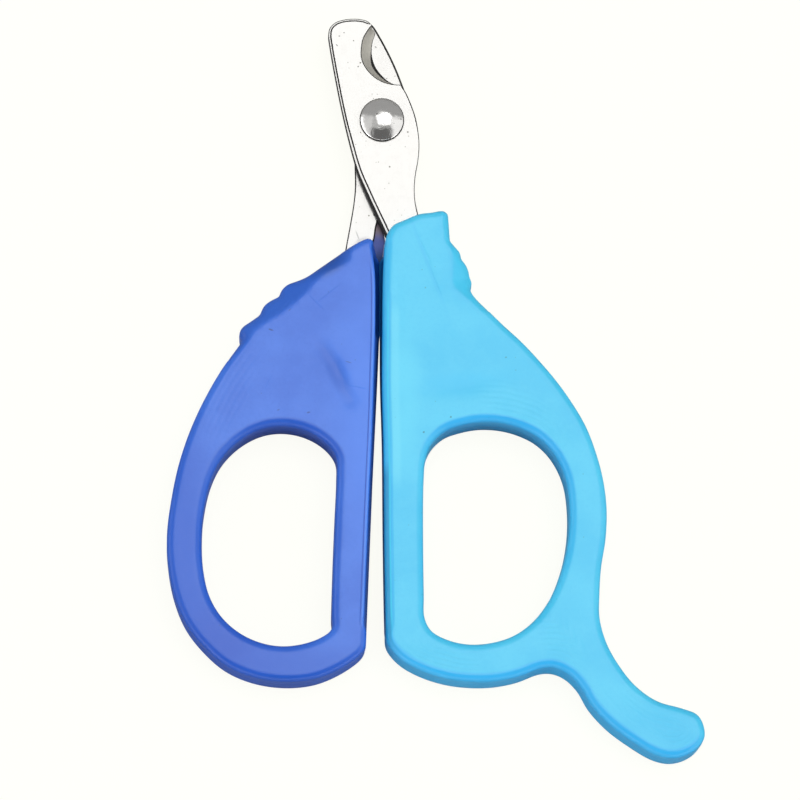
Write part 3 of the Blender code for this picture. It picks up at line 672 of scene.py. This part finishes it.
def turned(name, profile, mats, count=96, hole=False, strips=None, angle=30.0, dented=None):
    """Revolved piece about the pivot axis from (radius, z) points; dented
    gives how much a point (x, y, z) is pressed in."""
    verts, rings = [], []
    for r, z in profile:
        if r < 1e-6:
            rings.append([len(verts)])
            verts.append((0.0, 0.0, z))
        else:
            rings.append(list(range(len(verts), len(verts) + count)))
            verts += [(r * math.cos(2 * math.pi * k / count), r * math.sin(2 * math.pi * k / count), z)
                      for k in range(count)]
    if dented:
        verts = [(x, y, z - dented(x, y, z)) for x, y, z in verts]
    pairs = list(zip(rings[:-1], rings[1:]))
    if hole:
        pairs.append((rings[-1], rings[0]))
    faces, fm = [], []
    for s, (low, high) in enumerate(pairs):
        for i in range(count):
            j = (i + 1) % count
            if len(low) == 1:
                faces.append((low[0], high[j], high[i]))
            elif len(high) == 1:
                faces.append((low[i], low[j], high[0]))
            else:
                faces.append((low[i], low[j], high[j], high[i]))
            fm.append(strips[s] if strips else 0)
    return piece(name, verts, faces, mats, fm, angle=angle)


# ---------------------------------------------------------------- materials
class Nodes:
    """Short spelling for a material's or world's node tree."""

    def __init__(self, tree):
        self.t = tree

    def put(self, socket, value):
        if isinstance(value, bpy.types.NodeSocket):
            self.t.links.new(value, socket)
        else:
            socket.default_value = value

    def math(self, op, a, b=0.0, c=0.0, clamp=False):
        n = self.t.nodes.new("ShaderNodeMath")
        n.operation = op
        n.use_clamp = clamp
        for s, v in zip(n.inputs, (a, b, c)):
            self.put(s, v)
        return n.outputs[0]

    def step(self, x, lo, hi, a=0.0, b=1.0):
        n = self.t.nodes.new("ShaderNodeMapRange")
        n.interpolation_type = "SMOOTHSTEP"
        for s, v in zip(n.inputs[:5], (x, lo, hi, a, b)):
            self.put(s, v)
        return n.outputs[0]

    def mix(self, fac, a, b, blend="MIX"):
        n = self.t.nodes.new("ShaderNodeMix")
        n.data_type = "RGBA"
        n.blend_type = blend
        self.put(n.inputs["Factor"], fac)
        for key, v in (("A", a), ("B", b)):
            s = [i for i in n.inputs if i.name == key and i.type == "RGBA"][0]
            if isinstance(v, tuple) and len(v) == 3:
                v = (*v, 1.0)
            self.put(s, v)
        return [o for o in n.outputs if o.type == "RGBA"][0]

    def noise(self, vec, scale, detail=3.0, rough=0.5, distortion=0.0):
        n = self.t.nodes.new("ShaderNodeTexNoise")
        n.inputs["Scale"].default_value = scale
        n.inputs["Detail"].default_value = detail
        n.inputs["Roughness"].default_value = rough
        n.inputs["Distortion"].default_value = distortion
        self.put(n.inputs["Vector"], vec)
        return n.outputs[0]

    def voronoi(self, vec, scale):
        n = self.t.nodes.new("ShaderNodeTexVoronoi")
        n.voronoi_dimensions = "2D"
        n.inputs["Scale"].default_value = scale
        self.put(n.inputs["Vector"], vec)
        return n.outputs["Distance"], n.outputs["Color"]

    def attribute(self, name):
        n = self.t.nodes.new("ShaderNodeAttribute")
        n.attribute_name = name
        return n.outputs["Fac"]

    def mapping(self, vec, scale=(1, 1, 1), rotation=(0, 0, 0), location=(0, 0, 0)):
        n = self.t.nodes.new("ShaderNodeMapping")
        n.inputs["Scale"].default_value = scale
        n.inputs["Rotation"].default_value = rotation
        n.inputs["Location"].default_value = location
        self.put(n.inputs["Vector"], vec)
        return n.outputs[0]

    def blob(self, vec, x, y, rx, ry, soft=0.4, turn=0.0):
        """1 inside a soft ellipse round (x, y), 0 outside."""
        c, s = math.cos(turn), math.sin(turn)
        sep = self.t.nodes.new("ShaderNodeSeparateXYZ")
        self.put(sep.inputs[0], vec)
        dx = self.math("SUBTRACT", sep.outputs[0], x)
        dy = self.math("SUBTRACT", sep.outputs[1], y)
        u = self.math("MULTIPLY", self.math("ADD", self.math("MULTIPLY", dx, c), self.math("MULTIPLY", dy, s)), 1 / rx)
        v = self.math("MULTIPLY", self.math("ADD", self.math("MULTIPLY", dx, -s), self.math("MULTIPLY", dy, c)), 1 / ry)
        d = self.math("SQRT", self.math("ADD", self.math("MULTIPLY", u, u), self.math("MULTIPLY", v, v)))
        return self.step(d, 1.0 - soft, 1.0 + soft, 1.0, 0.0)


def start(name):
    mat = bpy.data.materials.new(name)
    mat.use_nodes = True
    t = mat.node_tree
    shader = t.nodes["Principled BSDF"]
    k = Nodes(t)
    coord = t.nodes.new("ShaderNodeTexCoord")
    # millimetres from the pivot axis
    mm = k.mapping(coord.outputs["Object"], scale=(1000, 1000, 1000), location=(-PX, -PY, 0))
    return mat, k, shader, mm


def bump(k, shader, height, distance_m, strength=1.0):
    n = k.t.nodes.new("ShaderNodeBump")
    n.inputs["Strength"].default_value = strength
    n.inputs["Distance"].default_value = distance_m
    k.put(n.inputs["Height"], height)
    k.put(shader.inputs["Normal"], n.outputs[0])


def plastic(name, color, deep, pale, rough, lines, specks, scuffs, painted_light_and_shade, borders, edge_highlight_and_shade_bands, painted_seam_shade, grip):
    """Moulded plastic: slow colour drift, fine orange peel, faint tool marks
    that follow the outline, soft blobs of painted light and shade, narrow bands
    of painted highlight and shade beside the straight inner edge, painted shade
    on edges that face away from the light, a few specks and scuffs, painted
    shade down in the seam and painted light and shade on the grip slopes."""
    mat, k, shader, mm = start(name)
    drift = k.noise(mm, 0.11, 2.0, 0.5)
    cloud = k.noise(mm, 0.55, 4.0, 0.62, 0.6)
    fine = k.noise(mm, 1.5, 3.0, 0.6)
    col = k.mix(k.step(drift, 0.36, 0.66), deep, pale)
    col = k.mix(0.55, col, color)
    col = k.mix(k.math("MULTIPLY", k.step(cloud, 0.44, 0.70), 0.22), col, pale)
    col = k.mix(k.math("MULTIPLY", k.step(fine, 0.46, 0.70), 0.22), col, deep)
    # painted light and shade: soft lighter and darker blobs where light falls on slopes, hollows and edges
    for x, y, rx, ry, turn, soft, amount, tint in painted_light_and_shade:
        m = k.blob(mm, x, y, rx, ry, soft, turn)
        col = k.mix(k.math("MULTIPLY", m, amount), col, tint)
    dist, rnd = k.voronoi(mm, 0.45)
    tone = k.t.nodes.new("ShaderNodeSeparateColor")
    k.put(tone.inputs[0], rnd)
    size = k.math("MULTIPLY", k.step(tone.outputs[0], 0.90, 1.0), 0.055)
    dot = k.math("MULTIPLY", k.step(k.math("SUBTRACT", dist, size), -0.012, 0.004, 1.0, 0.0), 0.35)
    dot = k.math("MULTIPLY", dot, k.step(tone.outputs[0], 0.90, 0.91))
    col = k.mix(dot, col, tuple(c * 0.45 for c in deep))
    for x, y, r, turn, stretch, amount in specks:
        m = k.blob(mm, x, y, r * stretch, r, 0.45, turn)
        col = k.mix(k.math("MULTIPLY", m, amount), col, tuple(c * 0.35 for c in deep))
    peel = k.noise(mm, 2.6, 3.0, 0.55)
    wave_h = k.noise(mm, 0.33, 2.0, 0.5)
    h = k.math("ADD", k.math("MULTIPLY", peel, 0.014), k.math("MULTIPLY", wave_h, 0.06))
    axis = k.t.nodes.new("ShaderNodeSeparateXYZ")
    k.put(axis.inputs[0], mm)
    # painted shade along edges and loop rims that face away from the light
    for attr, facing, at, half, soft, tint, amount in borders:
        d = k.math("ABSOLUTE", k.math("SUBTRACT", k.attribute(attr), at))
        m = k.math("MULTIPLY", k.step(d, half, half + soft, 1.0, 0.0), k.attribute(facing))
        col = k.mix(k.math("MULTIPLY", m, amount), col, tint)
    # painted highlight and shade lines beside the straight inner edge, some with a small groove or ridge in the bump
    beside = k.attribute("from_edge")
    for x_lo, x_hi, y_lo, y_hi, at, half, soft, tint, amount, depth in edge_highlight_and_shade_bands:
        d = k.math("ABSOLUTE", k.math("SUBTRACT", beside, at))
        m = k.step(d, half, half + soft, 1.0, 0.0)
        for out, lo, hi, fade in ((axis.outputs[0], x_lo, x_hi, 0.1), (axis.outputs[1], y_lo, y_hi, 2.0)):
            m = k.math("MULTIPLY", m, k.step(out, lo - fade, lo + fade))
            m = k.math("MULTIPLY", m, k.step(out, hi - fade, hi + fade, 1.0, 0.0))
        col = k.mix(k.math("MULTIPLY", m, amount), col, tint)
        if depth:
            h = k.math("SUBTRACT", h, k.math("MULTIPLY", m, depth))
    # painted light and shade on the slopes beside the grip scallops
    col = k.mix(k.math("MULTIPLY", k.attribute("grip"), 0.52), col, grip)
    # painted shade in the gap between the handles and along the walls' bottom edge
    col = k.mix(k.math("MULTIPLY", k.attribute("painted_seam_shade"), 0.92), col, painted_seam_shade)
    k.put(shader.inputs["Base Color"], col)
    for attr, spacing, x, y, rx, ry, turn, depth in lines:
        d = k.attribute(attr)
        d = k.math("ADD", d, k.math("MULTIPLY", k.noise(mm, 0.25, 1.0), 0.5))
        w = k.math("SINE", k.math("MULTIPLY", d, 2 * math.pi / spacing))
        m = k.blob(mm, x, y, rx, ry, 0.5, turn)
        h = k.math("ADD", h, k.math("MULTIPLY", k.math("MULTIPLY", w, m), depth))
    for x, y, length, width, turn, depth in scuffs:
        m = k.blob(mm, x, y, length, width, 0.5, turn)
        h = k.math("SUBTRACT", h, k.math("MULTIPLY", m, depth))
    bump(k, shader, h, 0.001)
    r = k.math("ADD", rough - 0.03, k.math("MULTIPLY", k.noise(mm, 0.9, 3.0), 0.06))
    k.put(shader.inputs["Roughness"], r)
    shader.inputs["Specular IOR Level"].default_value = 0.55
    shader.inputs["IOR"].default_value = 1.49
    shader.inputs["Coat Weight"].default_value = 0.0
    return mat


def steel(name, color, dark, rough, grain_dir=(1.0, 0.06, 1.0), pits=0.5, metallic=1.0, fine=1.0, fade=(),
          patches=(), hammer=0.0):
    """Stamped steel: faint directional polish, cloudy tone, tiny pits."""
    mat, k, shader, mm = start(name)
    grain = k.noise(k.mapping(mm, scale=grain_dir), 7.0, 4.0, 0.6)
    cloud = k.noise(mm, 0.7, 3.0, 0.55)
    mist = k.noise(mm, 4.2, 3.0, 0.7)
    col = k.mix(k.math("MULTIPLY", k.step(cloud, 0.45, 0.75), 0.28), color, dark)
    col = k.mix(k.math("MULTIPLY", k.step(grain, 0.52, 0.74), 0.22 * fine), col, dark)
    col = k.mix(k.math("MULTIPLY", k.step(mist, 0.60, 0.74), 0.35 * pits), col, tuple(c * 0.85 for c in dark))
    for scale, lo, amount in ((0.50, 0.70, 1.0), (1.1, 0.78, 0.55)):
        dist, rnd = k.voronoi(mm, scale)
        tone = k.t.nodes.new("ShaderNodeSeparateColor")
        k.put(tone.inputs[0], rnd)
        size = k.math("MULTIPLY", k.step(tone.outputs[1], lo, 1.0), 0.085 * (scale / 0.50) ** 0.5)
        dot = k.step(k.math("SUBTRACT", dist, size), -0.03, 0.006, 1.0, 0.0)
        dot = k.math("MULTIPLY", dot, k.step(tone.outputs[1], lo, lo + 0.02))
        col = k.mix(k.math("MULTIPLY", dot, amount * pits), col, (0.11, 0.10, 0.085))
    # patches lay given colours in soft blobs; on the blades some are painted reflection and shade
    for x, y, rx, ry, turn, soft, amount, tint in patches:
        m = k.blob(mm, x, y, rx, ry, soft, turn)
        col = k.mix(k.math("MULTIPLY", m, amount), col, tint)
    # fade darkens the colour towards lower y in given steps; on the stop tab it is painted reflection and shade
    if fade:
        axis = k.t.nodes.new("ShaderNodeSeparateXYZ")
        k.put(axis.inputs[0], mm)
        for hi, lo, tint in fade:
            col = k.mix(k.step(axis.outputs[1], lo, hi, 1.0, 0.0), col, tint)
    k.put(shader.inputs["Base Color"], col)
    r = k.math("ADD", rough, k.math("MULTIPLY", k.math("SUBTRACT", grain, 0.5), 0.16 * fine))
    k.put(shader.inputs["Roughness"], r)
    shader.inputs["Metallic"].default_value = metallic
    shader.inputs["Specular IOR Level"].default_value = 0.5 if metallic > 0.3 else 0.2
    h = k.math("ADD", k.math("MULTIPLY", grain, 0.0015 * fine), k.math("MULTIPLY", k.noise(mm, 0.4, 2.0), 0.010))
    if hammer:
        h = k.math("ADD", h, k.math("MULTIPLY", k.noise(mm, 0.85, 2.0, 0.45, 0.8), hammer))
    bump(k, shader, h, 0.001)
    return mat


# In both mouldings the blob list, the borders, the edge bands, the grip colour and the seam colour are painted light
# and shade.
light_plastic = plastic(
    "sky_blue_moulding", (0.070, 0.630, 0.96), (0.050, 0.580, 0.93), (0.096, 0.685, 0.985), 0.36,
    lines=[("from_loop", 0.95, 24.5, -51.5, 8.5, 3.4, -0.55, 0.017),
           ("from_edge", 0.85, 9.5, -92.0, 7.0, 1.9, -0.25, 0.018),
           ("from_edge", 0.80, 46.0, -102.8, 8.5, 2.4, -0.5, 0.018),
           ("from_edge", 0.9, 30.0, -89.0, 4.5, 3.0, -0.8, 0.018)],
    specks=[(11.4, -51.4, 0.16, 0.0, 1.0, 0.7), (7.2, -29.4, 0.13, 0.4, 1.0, 0.4),
            (6.9, -54.0, 0.14, 0.5, 1.3, 0.8), (20.6, -41.2, 0.12, 0.2, 1.6, 0.5)],
    scuffs=[(7.2, -23.0, 3.6, 0.10, -1.15, 0.02), (9.0, -28.4, 3.2, 0.09, -1.2, 0.02),
            (21.0, -36.0, 3.0, 0.08, -0.6, 0.015), (13.0, -20.5, 1.6, 0.08, -1.3, 0.015)],
    painted_light_and_shade=[(3.4, -48.5, 2.6, 11.0, 0.0, 0.7, 0.55, (0.115, 0.740, 1.0)),
            (7.6, -25.2, 0.35, 7.0, 0.36, 0.9, 0.40, (0.046, 0.540, 0.94)),
            (12.2, -24.5, 0.9, 5.0, 0.0, 0.6, 0.30, (0.036, 0.540, 0.94)),
            (12.6, -46.2, 5.6, 1.8, 0.08, 0.8, 0.45, (0.036, 0.590, 0.96)),
            (18.8, -45.0, 3.6, 1.4, 0.12, 0.8, 0.30, (0.040, 0.590, 0.96)),
            (46.0, -104.0, 8.0, 3.0, -0.45, 0.8, 0.35, (0.052, 0.570, 0.95))],
    borders=[("from_loop", "loop_painted_shade", 0.50, 0.35, 0.66, (0.014, 0.380, 0.92), 0.60),
             ("from_edge", "edge_painted_shade", 0.50, 0.35, 0.80, (0.016, 0.400, 0.94), 0.60)],
    edge_highlight_and_shade_bands=[(-1.0, 3.4, -60.0, -23.0, 0.30, 0.45, 0.30, (0.040, 0.560, 0.97), 0.25, 0.0),
           (-1.0, 3.4, -90.0, -60.0, 0.30, 0.45, 0.30, (0.020, 0.310, 0.600), 0.68, 0.0),
           (-1.0, 3.4, -86.0, -31.0, 0.92, 0.10, 0.10, (0.060, 0.690, 0.97), 0.75, -0.012),
           (-1.0, 3.4, -86.0, -31.0, 1.25, 0.16, 0.12, (0.046, 0.540, 0.96), 0.70, 0.010),
           (-1.0, 4.8, -62.0, -33.0, 2.10, 0.30, 0.80, (0.150, 0.760, 1.0), 0.50, 0.0)],
    painted_seam_shade=(0.004, 0.115, 0.320), grip=(0.062, 0.670, 0.985))
# painted light and shade here as in the moulding above
dark_plastic = plastic(
    "royal_blue_moulding", (0.042, 0.178, 0.765), (0.030, 0.142, 0.70), (0.064, 0.218, 0.85), 0.36,
    lines=[("from_edge", 1.0, -25.0, -47.0, 3.0, 8.0, -0.35, 0.010)],
    specks=[(-18.5, -36.8, 0.13, -0.3, 3.0, 0.8), (-12.2, -50.8, 0.14, 0.2, 2.0, 0.6),
            (-15.4, -33.4, 0.10, 0.9, 3.0, 0.35), (-17.2, -50.4, 0.12, 0.4, 2.0, 0.4),
            (-5.6, -42.2, 0.10, -0.3, 5.0, 0.5)],
    scuffs=[(-9.0, -30.5, 2.4, 0.09, 0.7, 0.02), (-11.0, -32.0, 1.8, 0.09, -0.8, 0.02),
            (-16.6, -33.2, 1.5, 0.10, 0.9, 0.02), (-4.2, -46.4, 1.6, 0.08, -0.2, 0.02),
            (-19.0, -45.8, 1.4, 0.08, 1.1, 0.02)],
    painted_light_and_shade=[(-27.0, -90.0, 12.0, 7.0, -0.6, 0.9, 0.85, (0.012, 0.092, 0.585)),
            (-32.6, -73.0, 3.8, 18.0, 0.0, 0.8, 0.85, (0.012, 0.110, 0.640)),
            (-12.0, -93.5, 9.0, 3.2, 0.05, 0.8, 0.70, (0.024, 0.128, 0.655)),
            (-17.0, -96.8, 13.0, 1.2, 0.0, 0.9, 0.85, (0.010, 0.072, 0.310)),
            (-8.6, -25.4, 2.8, 1.3, 0.62, 0.8, 0.80, (0.008, 0.060, 0.300)),
            (-3.2, -52.0, 4.0, 17.0, 0.0, 0.9, 0.75, (0.066, 0.240, 0.93)),
            (-7.8, -43.8, 1.15, 4.6, 0.46, 0.7, 0.60, (0.014, 0.110, 0.600))],
    borders=[("from_loop", "loop_painted_shade", 0.55, 0.35, 0.80, (0.006, 0.070, 0.49), 0.60),
             ("from_edge", "edge_painted_shade", 0.40, 0.30, 0.80, (0.008, 0.088, 0.55), 0.60)],
    edge_highlight_and_shade_bands=[(-4.2, 1.0, -86.0, -26.0, 0.30, 0.06, 0.10, (0.110, 0.320, 0.98), 0.80, 0.0),
           (-4.2, 1.0, -86.0, -26.0, 0.67, 0.05, 0.09, (0.014, 0.090, 0.560), 0.85, 0.040)],
    painted_seam_shade=(0.002, 0.056, 0.310), grip=(0.010, 0.094, 0.510))

# the first three patches are painted reflection and shade of the dark handle on the rear blade beside its neck
face_steel = steel("polished_blade_steel", (0.525, 0.518, 0.500), (0.465, 0.457, 0.437), 0.16, pits=1.0, metallic=0.4,
                   patches=[(-3.3, -20.6, 1.1, 0.55, 0.5, 0.5, 0.6, (0.28, 0.28, 0.30)),
                            (-4.1, -21.3, 0.7, 0.45, 0.2, 0.5, 0.55, (0.34, 0.34, 0.37)),
                            (-4.0, -19.6, 0.10, 0.8, 0.35, 0.5, 0.6, (0.16, 0.16, 0.16)),
                            (-7.2, 14.6, 0.13, 0.10, 0.0, 0.5, 0.9, (0.07, 0.07, 0.06)),
                            (-6.4, 15.2, 0.10, 0.10, 0.0, 0.5, 0.9, (0.07, 0.07, 0.06)),
                            (-7.6, 13.0, 0.20, 0.09, -0.9, 0.5, 0.9, (0.07, 0.07, 0.06)),
                            (-4.0, 9.3, 0.12, 0.12, 0.0, 0.5, 0.9, (0.07, 0.07, 0.06)),
                            (-1.0, 13.2, 0.16, 0.10, -0.9, 0.5, 0.9, (0.07, 0.07, 0.06))])
# near-black rims: painted shade along the blades' edges, in the gap between the blades and under the rivet head's edge
rim_shade_steel = steel("sheared_rim_painted_shade", (0.022, 0.0215, 0.0205), (0.010, 0.0098, 0.0095), 0.50, pits=0.0, metallic=0.15)
strip_steel = steel("bevel_strip_steel", (0.53, 0.523, 0.505), (0.46, 0.453, 0.433), 0.24, pits=0.2, metallic=0.4)
# the stop tab's colour is painted shade between the blades and the handles, fading lower down into painted reflection
# of the blue handles and deeper shade
tab_shade_steel = steel("stop_tab_painted_shade", (0.100, 0.082, 0.092), (0.078, 0.066, 0.076), 0.38, pits=0.1,
                  fade=((-18.2, -20.6, (0.040, 0.052, 0.150)), (-21.0, -24.6, (0.008, 0.020, 0.050))))
ground_steel = steel("ground_notch_steel", (0.53, 0.512, 0.455), (0.41, 0.396, 0.352), 0.45, metallic=0.45,
                     grain_dir=(0.25, 1.0, 1.0), pits=0.3, fine=1.6)
dome_steel = steel("polished_rivet_steel", (0.80, 0.79, 0.77), (0.66, 0.65, 0.63), 0.165, pits=0.6, fine=0.6,
                   patches=[(-0.9, 0.6, 0.14, 0.12, 0.3, 0.5, 0.9, (0.12, 0.12, 0.11))], hammer=0.055)
washer_steel = steel("washer_steel", (0.70, 0.70, 0.68), (0.55, 0.55, 0.53), 0.30, pits=0.3)

# -------------------------------------------------------------------- pieces
dark = handle("dark_handle_moulding", DARK_OUTER, DARK_LOOP, dark_shape, dark_meet, -LIFT, DARK_GRIP,
              [(-32.0, -44.0), (-32.0, -16.0), (-1.6, -16.0)], DARK_DIMPLES, dark_plastic)
light = handle("light_handle_moulding", LIGHT_OUTER, LIGHT_LOOP, light_shape, light_meet, LIFT, LIGHT_GRIP,
               [(22.0, -30.0), (22.0, -12.0), (9.6, -12.0)], LIGHT_DIMPLES, light_plastic)
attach(dark, "dark_half")
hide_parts("dark_blue_handle")
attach(light, "light_half")
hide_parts("light_blue_handle")


def back_edge(p):
    """1 along the front blade's back edge and over its tip, 0 elsewhere."""
    left = (p[:, 0] < 2.2 - 0.12 * (p[:, 1] + 20.0)) | (p[:, 1] > 14.0)
    return np.where(left, 1.0, 0.0)


# width of the near-black rim; on the back edge's lower part it is widened as painted shadow of the gap between the
# blades
def front_rim(p):
    back = back_edge(p)
    waist = smooth(-p[:, 1], 0.0, 3.0) * (1.0 - smooth(-p[:, 1], 13.0, 16.0))
    return 0.19 + back * (-0.05 + 0.26 * smooth(-p[:, 1], 6.0, 13.0)) - (1.0 - back) * 0.07 * waist


def front_strip(p):
    width = 0.165 + 0.115 * smooth(-p[:, 1], 0.0, 5.0)
    return back_edge(p) * width * smooth(p[:, 1], -25.0, -23.5)


def front_line(p):
    return back_edge(p) * 0.25 * smooth(p[:, 1], -25.0, -23.5)


def rear_rim(p):
    return np.where(p[:, 0] > -2.5, 0.24 + 0.10 * smooth(p[:, 1], 2.0, 6.0), 0.20)


def none(p):
    return np.zeros(len(p))


blade_mats = [face_steel, rim_shade_steel, strip_steel, tab_shade_steel, ground_steel]
rear = blade("rear_blade_plate", blade_mats, REAR_EDGE, REAR_NOTCH_CUT, REAR_NOTCH_FACE,
             REAR_Z0 + BLADE_T, REAR_Z0, rear_rim, none, none, TAB_SEEN)
front = blade("front_blade_plate", blade_mats, FRONT_EDGE, FRONT_NOTCH_CUT, FRONT_NOTCH_FACE,
              FRONT_Z0, FRONT_Z0 + BLADE_T, front_rim, front_strip, front_line)
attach(rear, "dark_half")
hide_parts("rear_blade")
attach(front, "light_half")
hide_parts("front_blade")

washer_low = REAR_Z0 - STACK_GAP - WASHER_T
clinch_top = washer_low - STACK_GAP
head_low = FRONT_Z0 + BLADE_T + STACK_GAP
bottom = clinch_top - CLINCH_T
profile = [(0.0, bottom + 0.22), (0.45, bottom + 0.20), (0.9, bottom + 0.08), (1.25, bottom),
           (CLINCH_R * 0.60, bottom + 0.015), (CLINCH_R * 0.80, bottom + 0.08), (CLINCH_R * 0.93, bottom + 0.20),
           (CLINCH_R * 0.99, bottom + 0.38), (CLINCH_R, bottom + 0.52), (CLINCH_R - 0.04, clinch_top - 0.04),
           (CLINCH_R - 0.12, clinch_top), (SHANK_R, clinch_top), (SHANK_R, head_low),
           (HEAD_R - 0.18, head_low), (HEAD_R - 0.05, head_low + 0.05), (HEAD_R, head_low + 0.14)]
strips = [0] * (len(profile) - 1)
ball = (HEAD_R ** 2 + HEAD_DOME ** 2) / (2 * HEAD_DOME)
reach = math.asin((HEAD_R - 0.15) / ball)
profile.append((HEAD_R - 0.01, head_low + HEAD_RIM - 0.08))
strips.append(1)
top_z = head_low + HEAD_RIM + HEAD_DOME
for q in range(0, 30):
    t = reach * (1 - q / 30)
    rr = ball * math.sin(t)
    zz = top_z - ball * (1 - math.cos(t))
    profile.append((rr, zz))
    strips.append(1 if q == 0 else 0)
profile.append((0.0, top_z))
strips.append(0)


def dents(x, y, z):
    """The head was set by hammer: its dome is a little uneven."""
    if z < head_low + HEAD_RIM:
        return 0.0
    return (1 - (x * x + y * y) / HEAD_R ** 2) * (
        0.030 + 0.018 * math.sin(1.9 * x + 0.6) * math.cos(1.5 * y - 0.8) + 0.010 * math.sin(3.1 * y + 1.7 * x))


# the head's outer ring takes the near-black rim material, painted shade under its edge
rivet = turned("pivot_rivet_turned", profile, [dome_steel, rim_shade_steel], strips=strips, angle=34.0, dented=dents)
w0, w1, wb = washer_low, washer_low + WASHER_T, 0.14
washer = turned("back_washer_turned",
                [(WASHER_HOLE_R, w0 + 0.05), (WASHER_HOLE_R + 0.05, w0), (WASHER_R - wb, w0), (WASHER_R - 0.04, w0 + 0.05),
                 (WASHER_R, w0 + wb), (WASHER_R, w1 - wb), (WASHER_R - 0.04, w1 - 0.05), (WASHER_R - wb, w1),
                 (WASHER_HOLE_R + 0.05, w1), (WASHER_HOLE_R, w1 - 0.05)], [washer_steel], hole=True)
for obj, node, slot in ((rivet, "pivot_rivet", "rivet_steel"), (washer, "rivet_back_washer", "washer_steel")):
    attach(obj, "dark_half")
    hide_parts(node)

# --------------------------------------------------------------------- stage
floor_mesh = bpy.data.meshes.new("floor")
floor_mesh.from_pydata([(-3, -3, 0), (3, -3, 0), (3, 3, 0), (-3, 3, 0)], [], [(0, 1, 2, 3)])
floor = bpy.data.objects.new("floor", floor_mesh)
floor.location.z = -0.0004
bpy.context.scene.collection.objects.link(floor)
fmat = bpy.data.materials.new("white_table")
fmat.use_nodes = True
fs = fmat.node_tree.nodes["Principled BSDF"]
fs.inputs["Base Color"].default_value = (0.10, 0.10, 0.0975, 1)
fs.inputs["Roughness"].default_value = 0.9
fs.inputs["Specular IOR Level"].default_value = 0.0
fs.inputs["Emission Color"].default_value = (1.0, 1.0, 0.945, 1)
fs.inputs["Emission Strength"].default_value = 0.93
floor_mesh.materials.append(fmat)
floor.visible_glossy = False
floor.visible_diffuse = False
floor.visible_shadow = False

# what the object's sides see of the table: it darkens close beside them
bounce = bpy.data.objects.new("table_bounce", floor_mesh.copy())
bounce.location.z = -0.0008
bpy.context.scene.collection.objects.link(bounce)
bmat = bpy.data.materials.new("grey_table")
bmat.use_nodes = True
bs = bmat.node_tree.nodes["Principled BSDF"]
bs.inputs["Base Color"].default_value = (0.32, 0.32, 0.315, 1)
bs.inputs["Roughness"].default_value = 0.9
bounce.data.materials.clear()
bounce.data.materials.append(bmat)
bounce.visible_camera = False

KEY, SKY, LOW = 2.74, 0.50, 0.60
world = bpy.data.worlds.new("studio")
bpy.context.scene.world = world
world.use_nodes = True
wt = Nodes(world.node_tree)
coord = wt.t.nodes.new("ShaderNodeTexCoord")
sep = wt.t.nodes.new("ShaderNodeSeparateXYZ")
wt.put(sep.inputs[0], coord.outputs["Generated"])
X, Y, Z = sep.outputs


def span(x, centre, half, soft):
    """1 within half of centre, fading over soft outside it."""
    d = wt.math("ABSOLUTE", wt.math("SUBTRACT", x, centre))
    return wt.step(d, half, half + soft, 1.0, 0.0)


# one soft box overhead, a pale wall to the right, a dim room behind the camera
flat = wt.math("MAXIMUM", Z, 0.15)
px, py = wt.math("DIVIDE", X, flat), wt.math("DIVIDE", Y, flat)
key = wt.math("MULTIPLY", span(px, 0.17, 0.28, 0.26), span(py, 0.18, 0.22, 0.25))
key = wt.math("MULTIPLY", wt.math("MULTIPLY", key, wt.step(Z, 0.3, 0.6)), KEY)
room = wt.math("ADD", SKY, wt.math("MULTIPLY", wt.math("MULTIPLY", wt.step(X, 0.45, 0.70),
                                                       wt.step(Y, 0.20, 0.45, 1.0, 0.0)), 0.60))
left = wt.math("MULTIPLY", wt.step(wt.math("MULTIPLY", X, -1.0), 0.42, 0.60), wt.step(Y, 0.25, 0.50, 1.0, 0.0))
left = wt.math("MULTIPLY", left, wt.step(Z, 0.24, 0.44, 1.40, 0.24))
room = wt.math("ADD", room, left)
room = wt.math("MULTIPLY", room, wt.step(Y, 0.15, 0.50, 1.0, 0.78))
back_wall = wt.math("MULTIPLY", wt.step(wt.math("MULTIPLY", Y, -1.0), 0.22, 0.50),
                    wt.step(wt.math("ABSOLUTE", X), 0.45, 0.75, 1.0, 0.0))
room = wt.math("MULTIPLY", room, wt.math("SUBTRACT", 1.0, wt.math("MULTIPLY", back_wall, 0.72)))
room = wt.math("MULTIPLY", room, wt.step(Z, -0.08, 0.06, LOW, 1.0))
# a low window in front lights the sides that face the camera's foot
low = wt.math("MULTIPLY", wt.step(wt.math("MULTIPLY", Y, -1.0), 0.35, 0.75), wt.step(Z, 0.10, 0.25, 1.0, 0.0))
low = wt.math("MULTIPLY", wt.math("MULTIPLY", low, wt.step(Z, -0.04, 0.02)), 3.0)
total = wt.math("ADD", wt.math("ADD", room, low), key)
bg = wt.t.nodes["Background"]
wt.put(bg.inputs["Color"], (1.0, 1.0, 1.0, 1.0))
wt.put(bg.inputs["Strength"], total)

# -------------------------------------------------------------------- camera
TILT_Y, TILT_X, DIST = 12.0, 2.0, 900.0
target = Vector((-5.725, -2.718, 4.0)) * MM
back = Vector((-math.tan(math.radians(TILT_X)), -math.tan(math.radians(TILT_Y)), 1.0)).normalized()
up = (Vector((0, 1, 0)) - back * back.y).normalized()
right = up.cross(back)
cam_data = bpy.data.cameras.new("camera")
cam = bpy.data.objects.new("camera", cam_data)
bpy.context.scene.collection.objects.link(cam)
cam_data.sensor_width = 36.0
cam_data.lens = 36.0 * DIST / (800 * 0.16665)
cam_data.clip_start, cam_data.clip_end = 0.05, 20.0
cam.matrix_world = Matrix.Translation(target + back * DIST * MM) @ Matrix((right, up, back)).transposed().to_4x4()
bpy.context.scene.camera = cam
bpy.context.scene.view_settings.view_transform = "Standard"
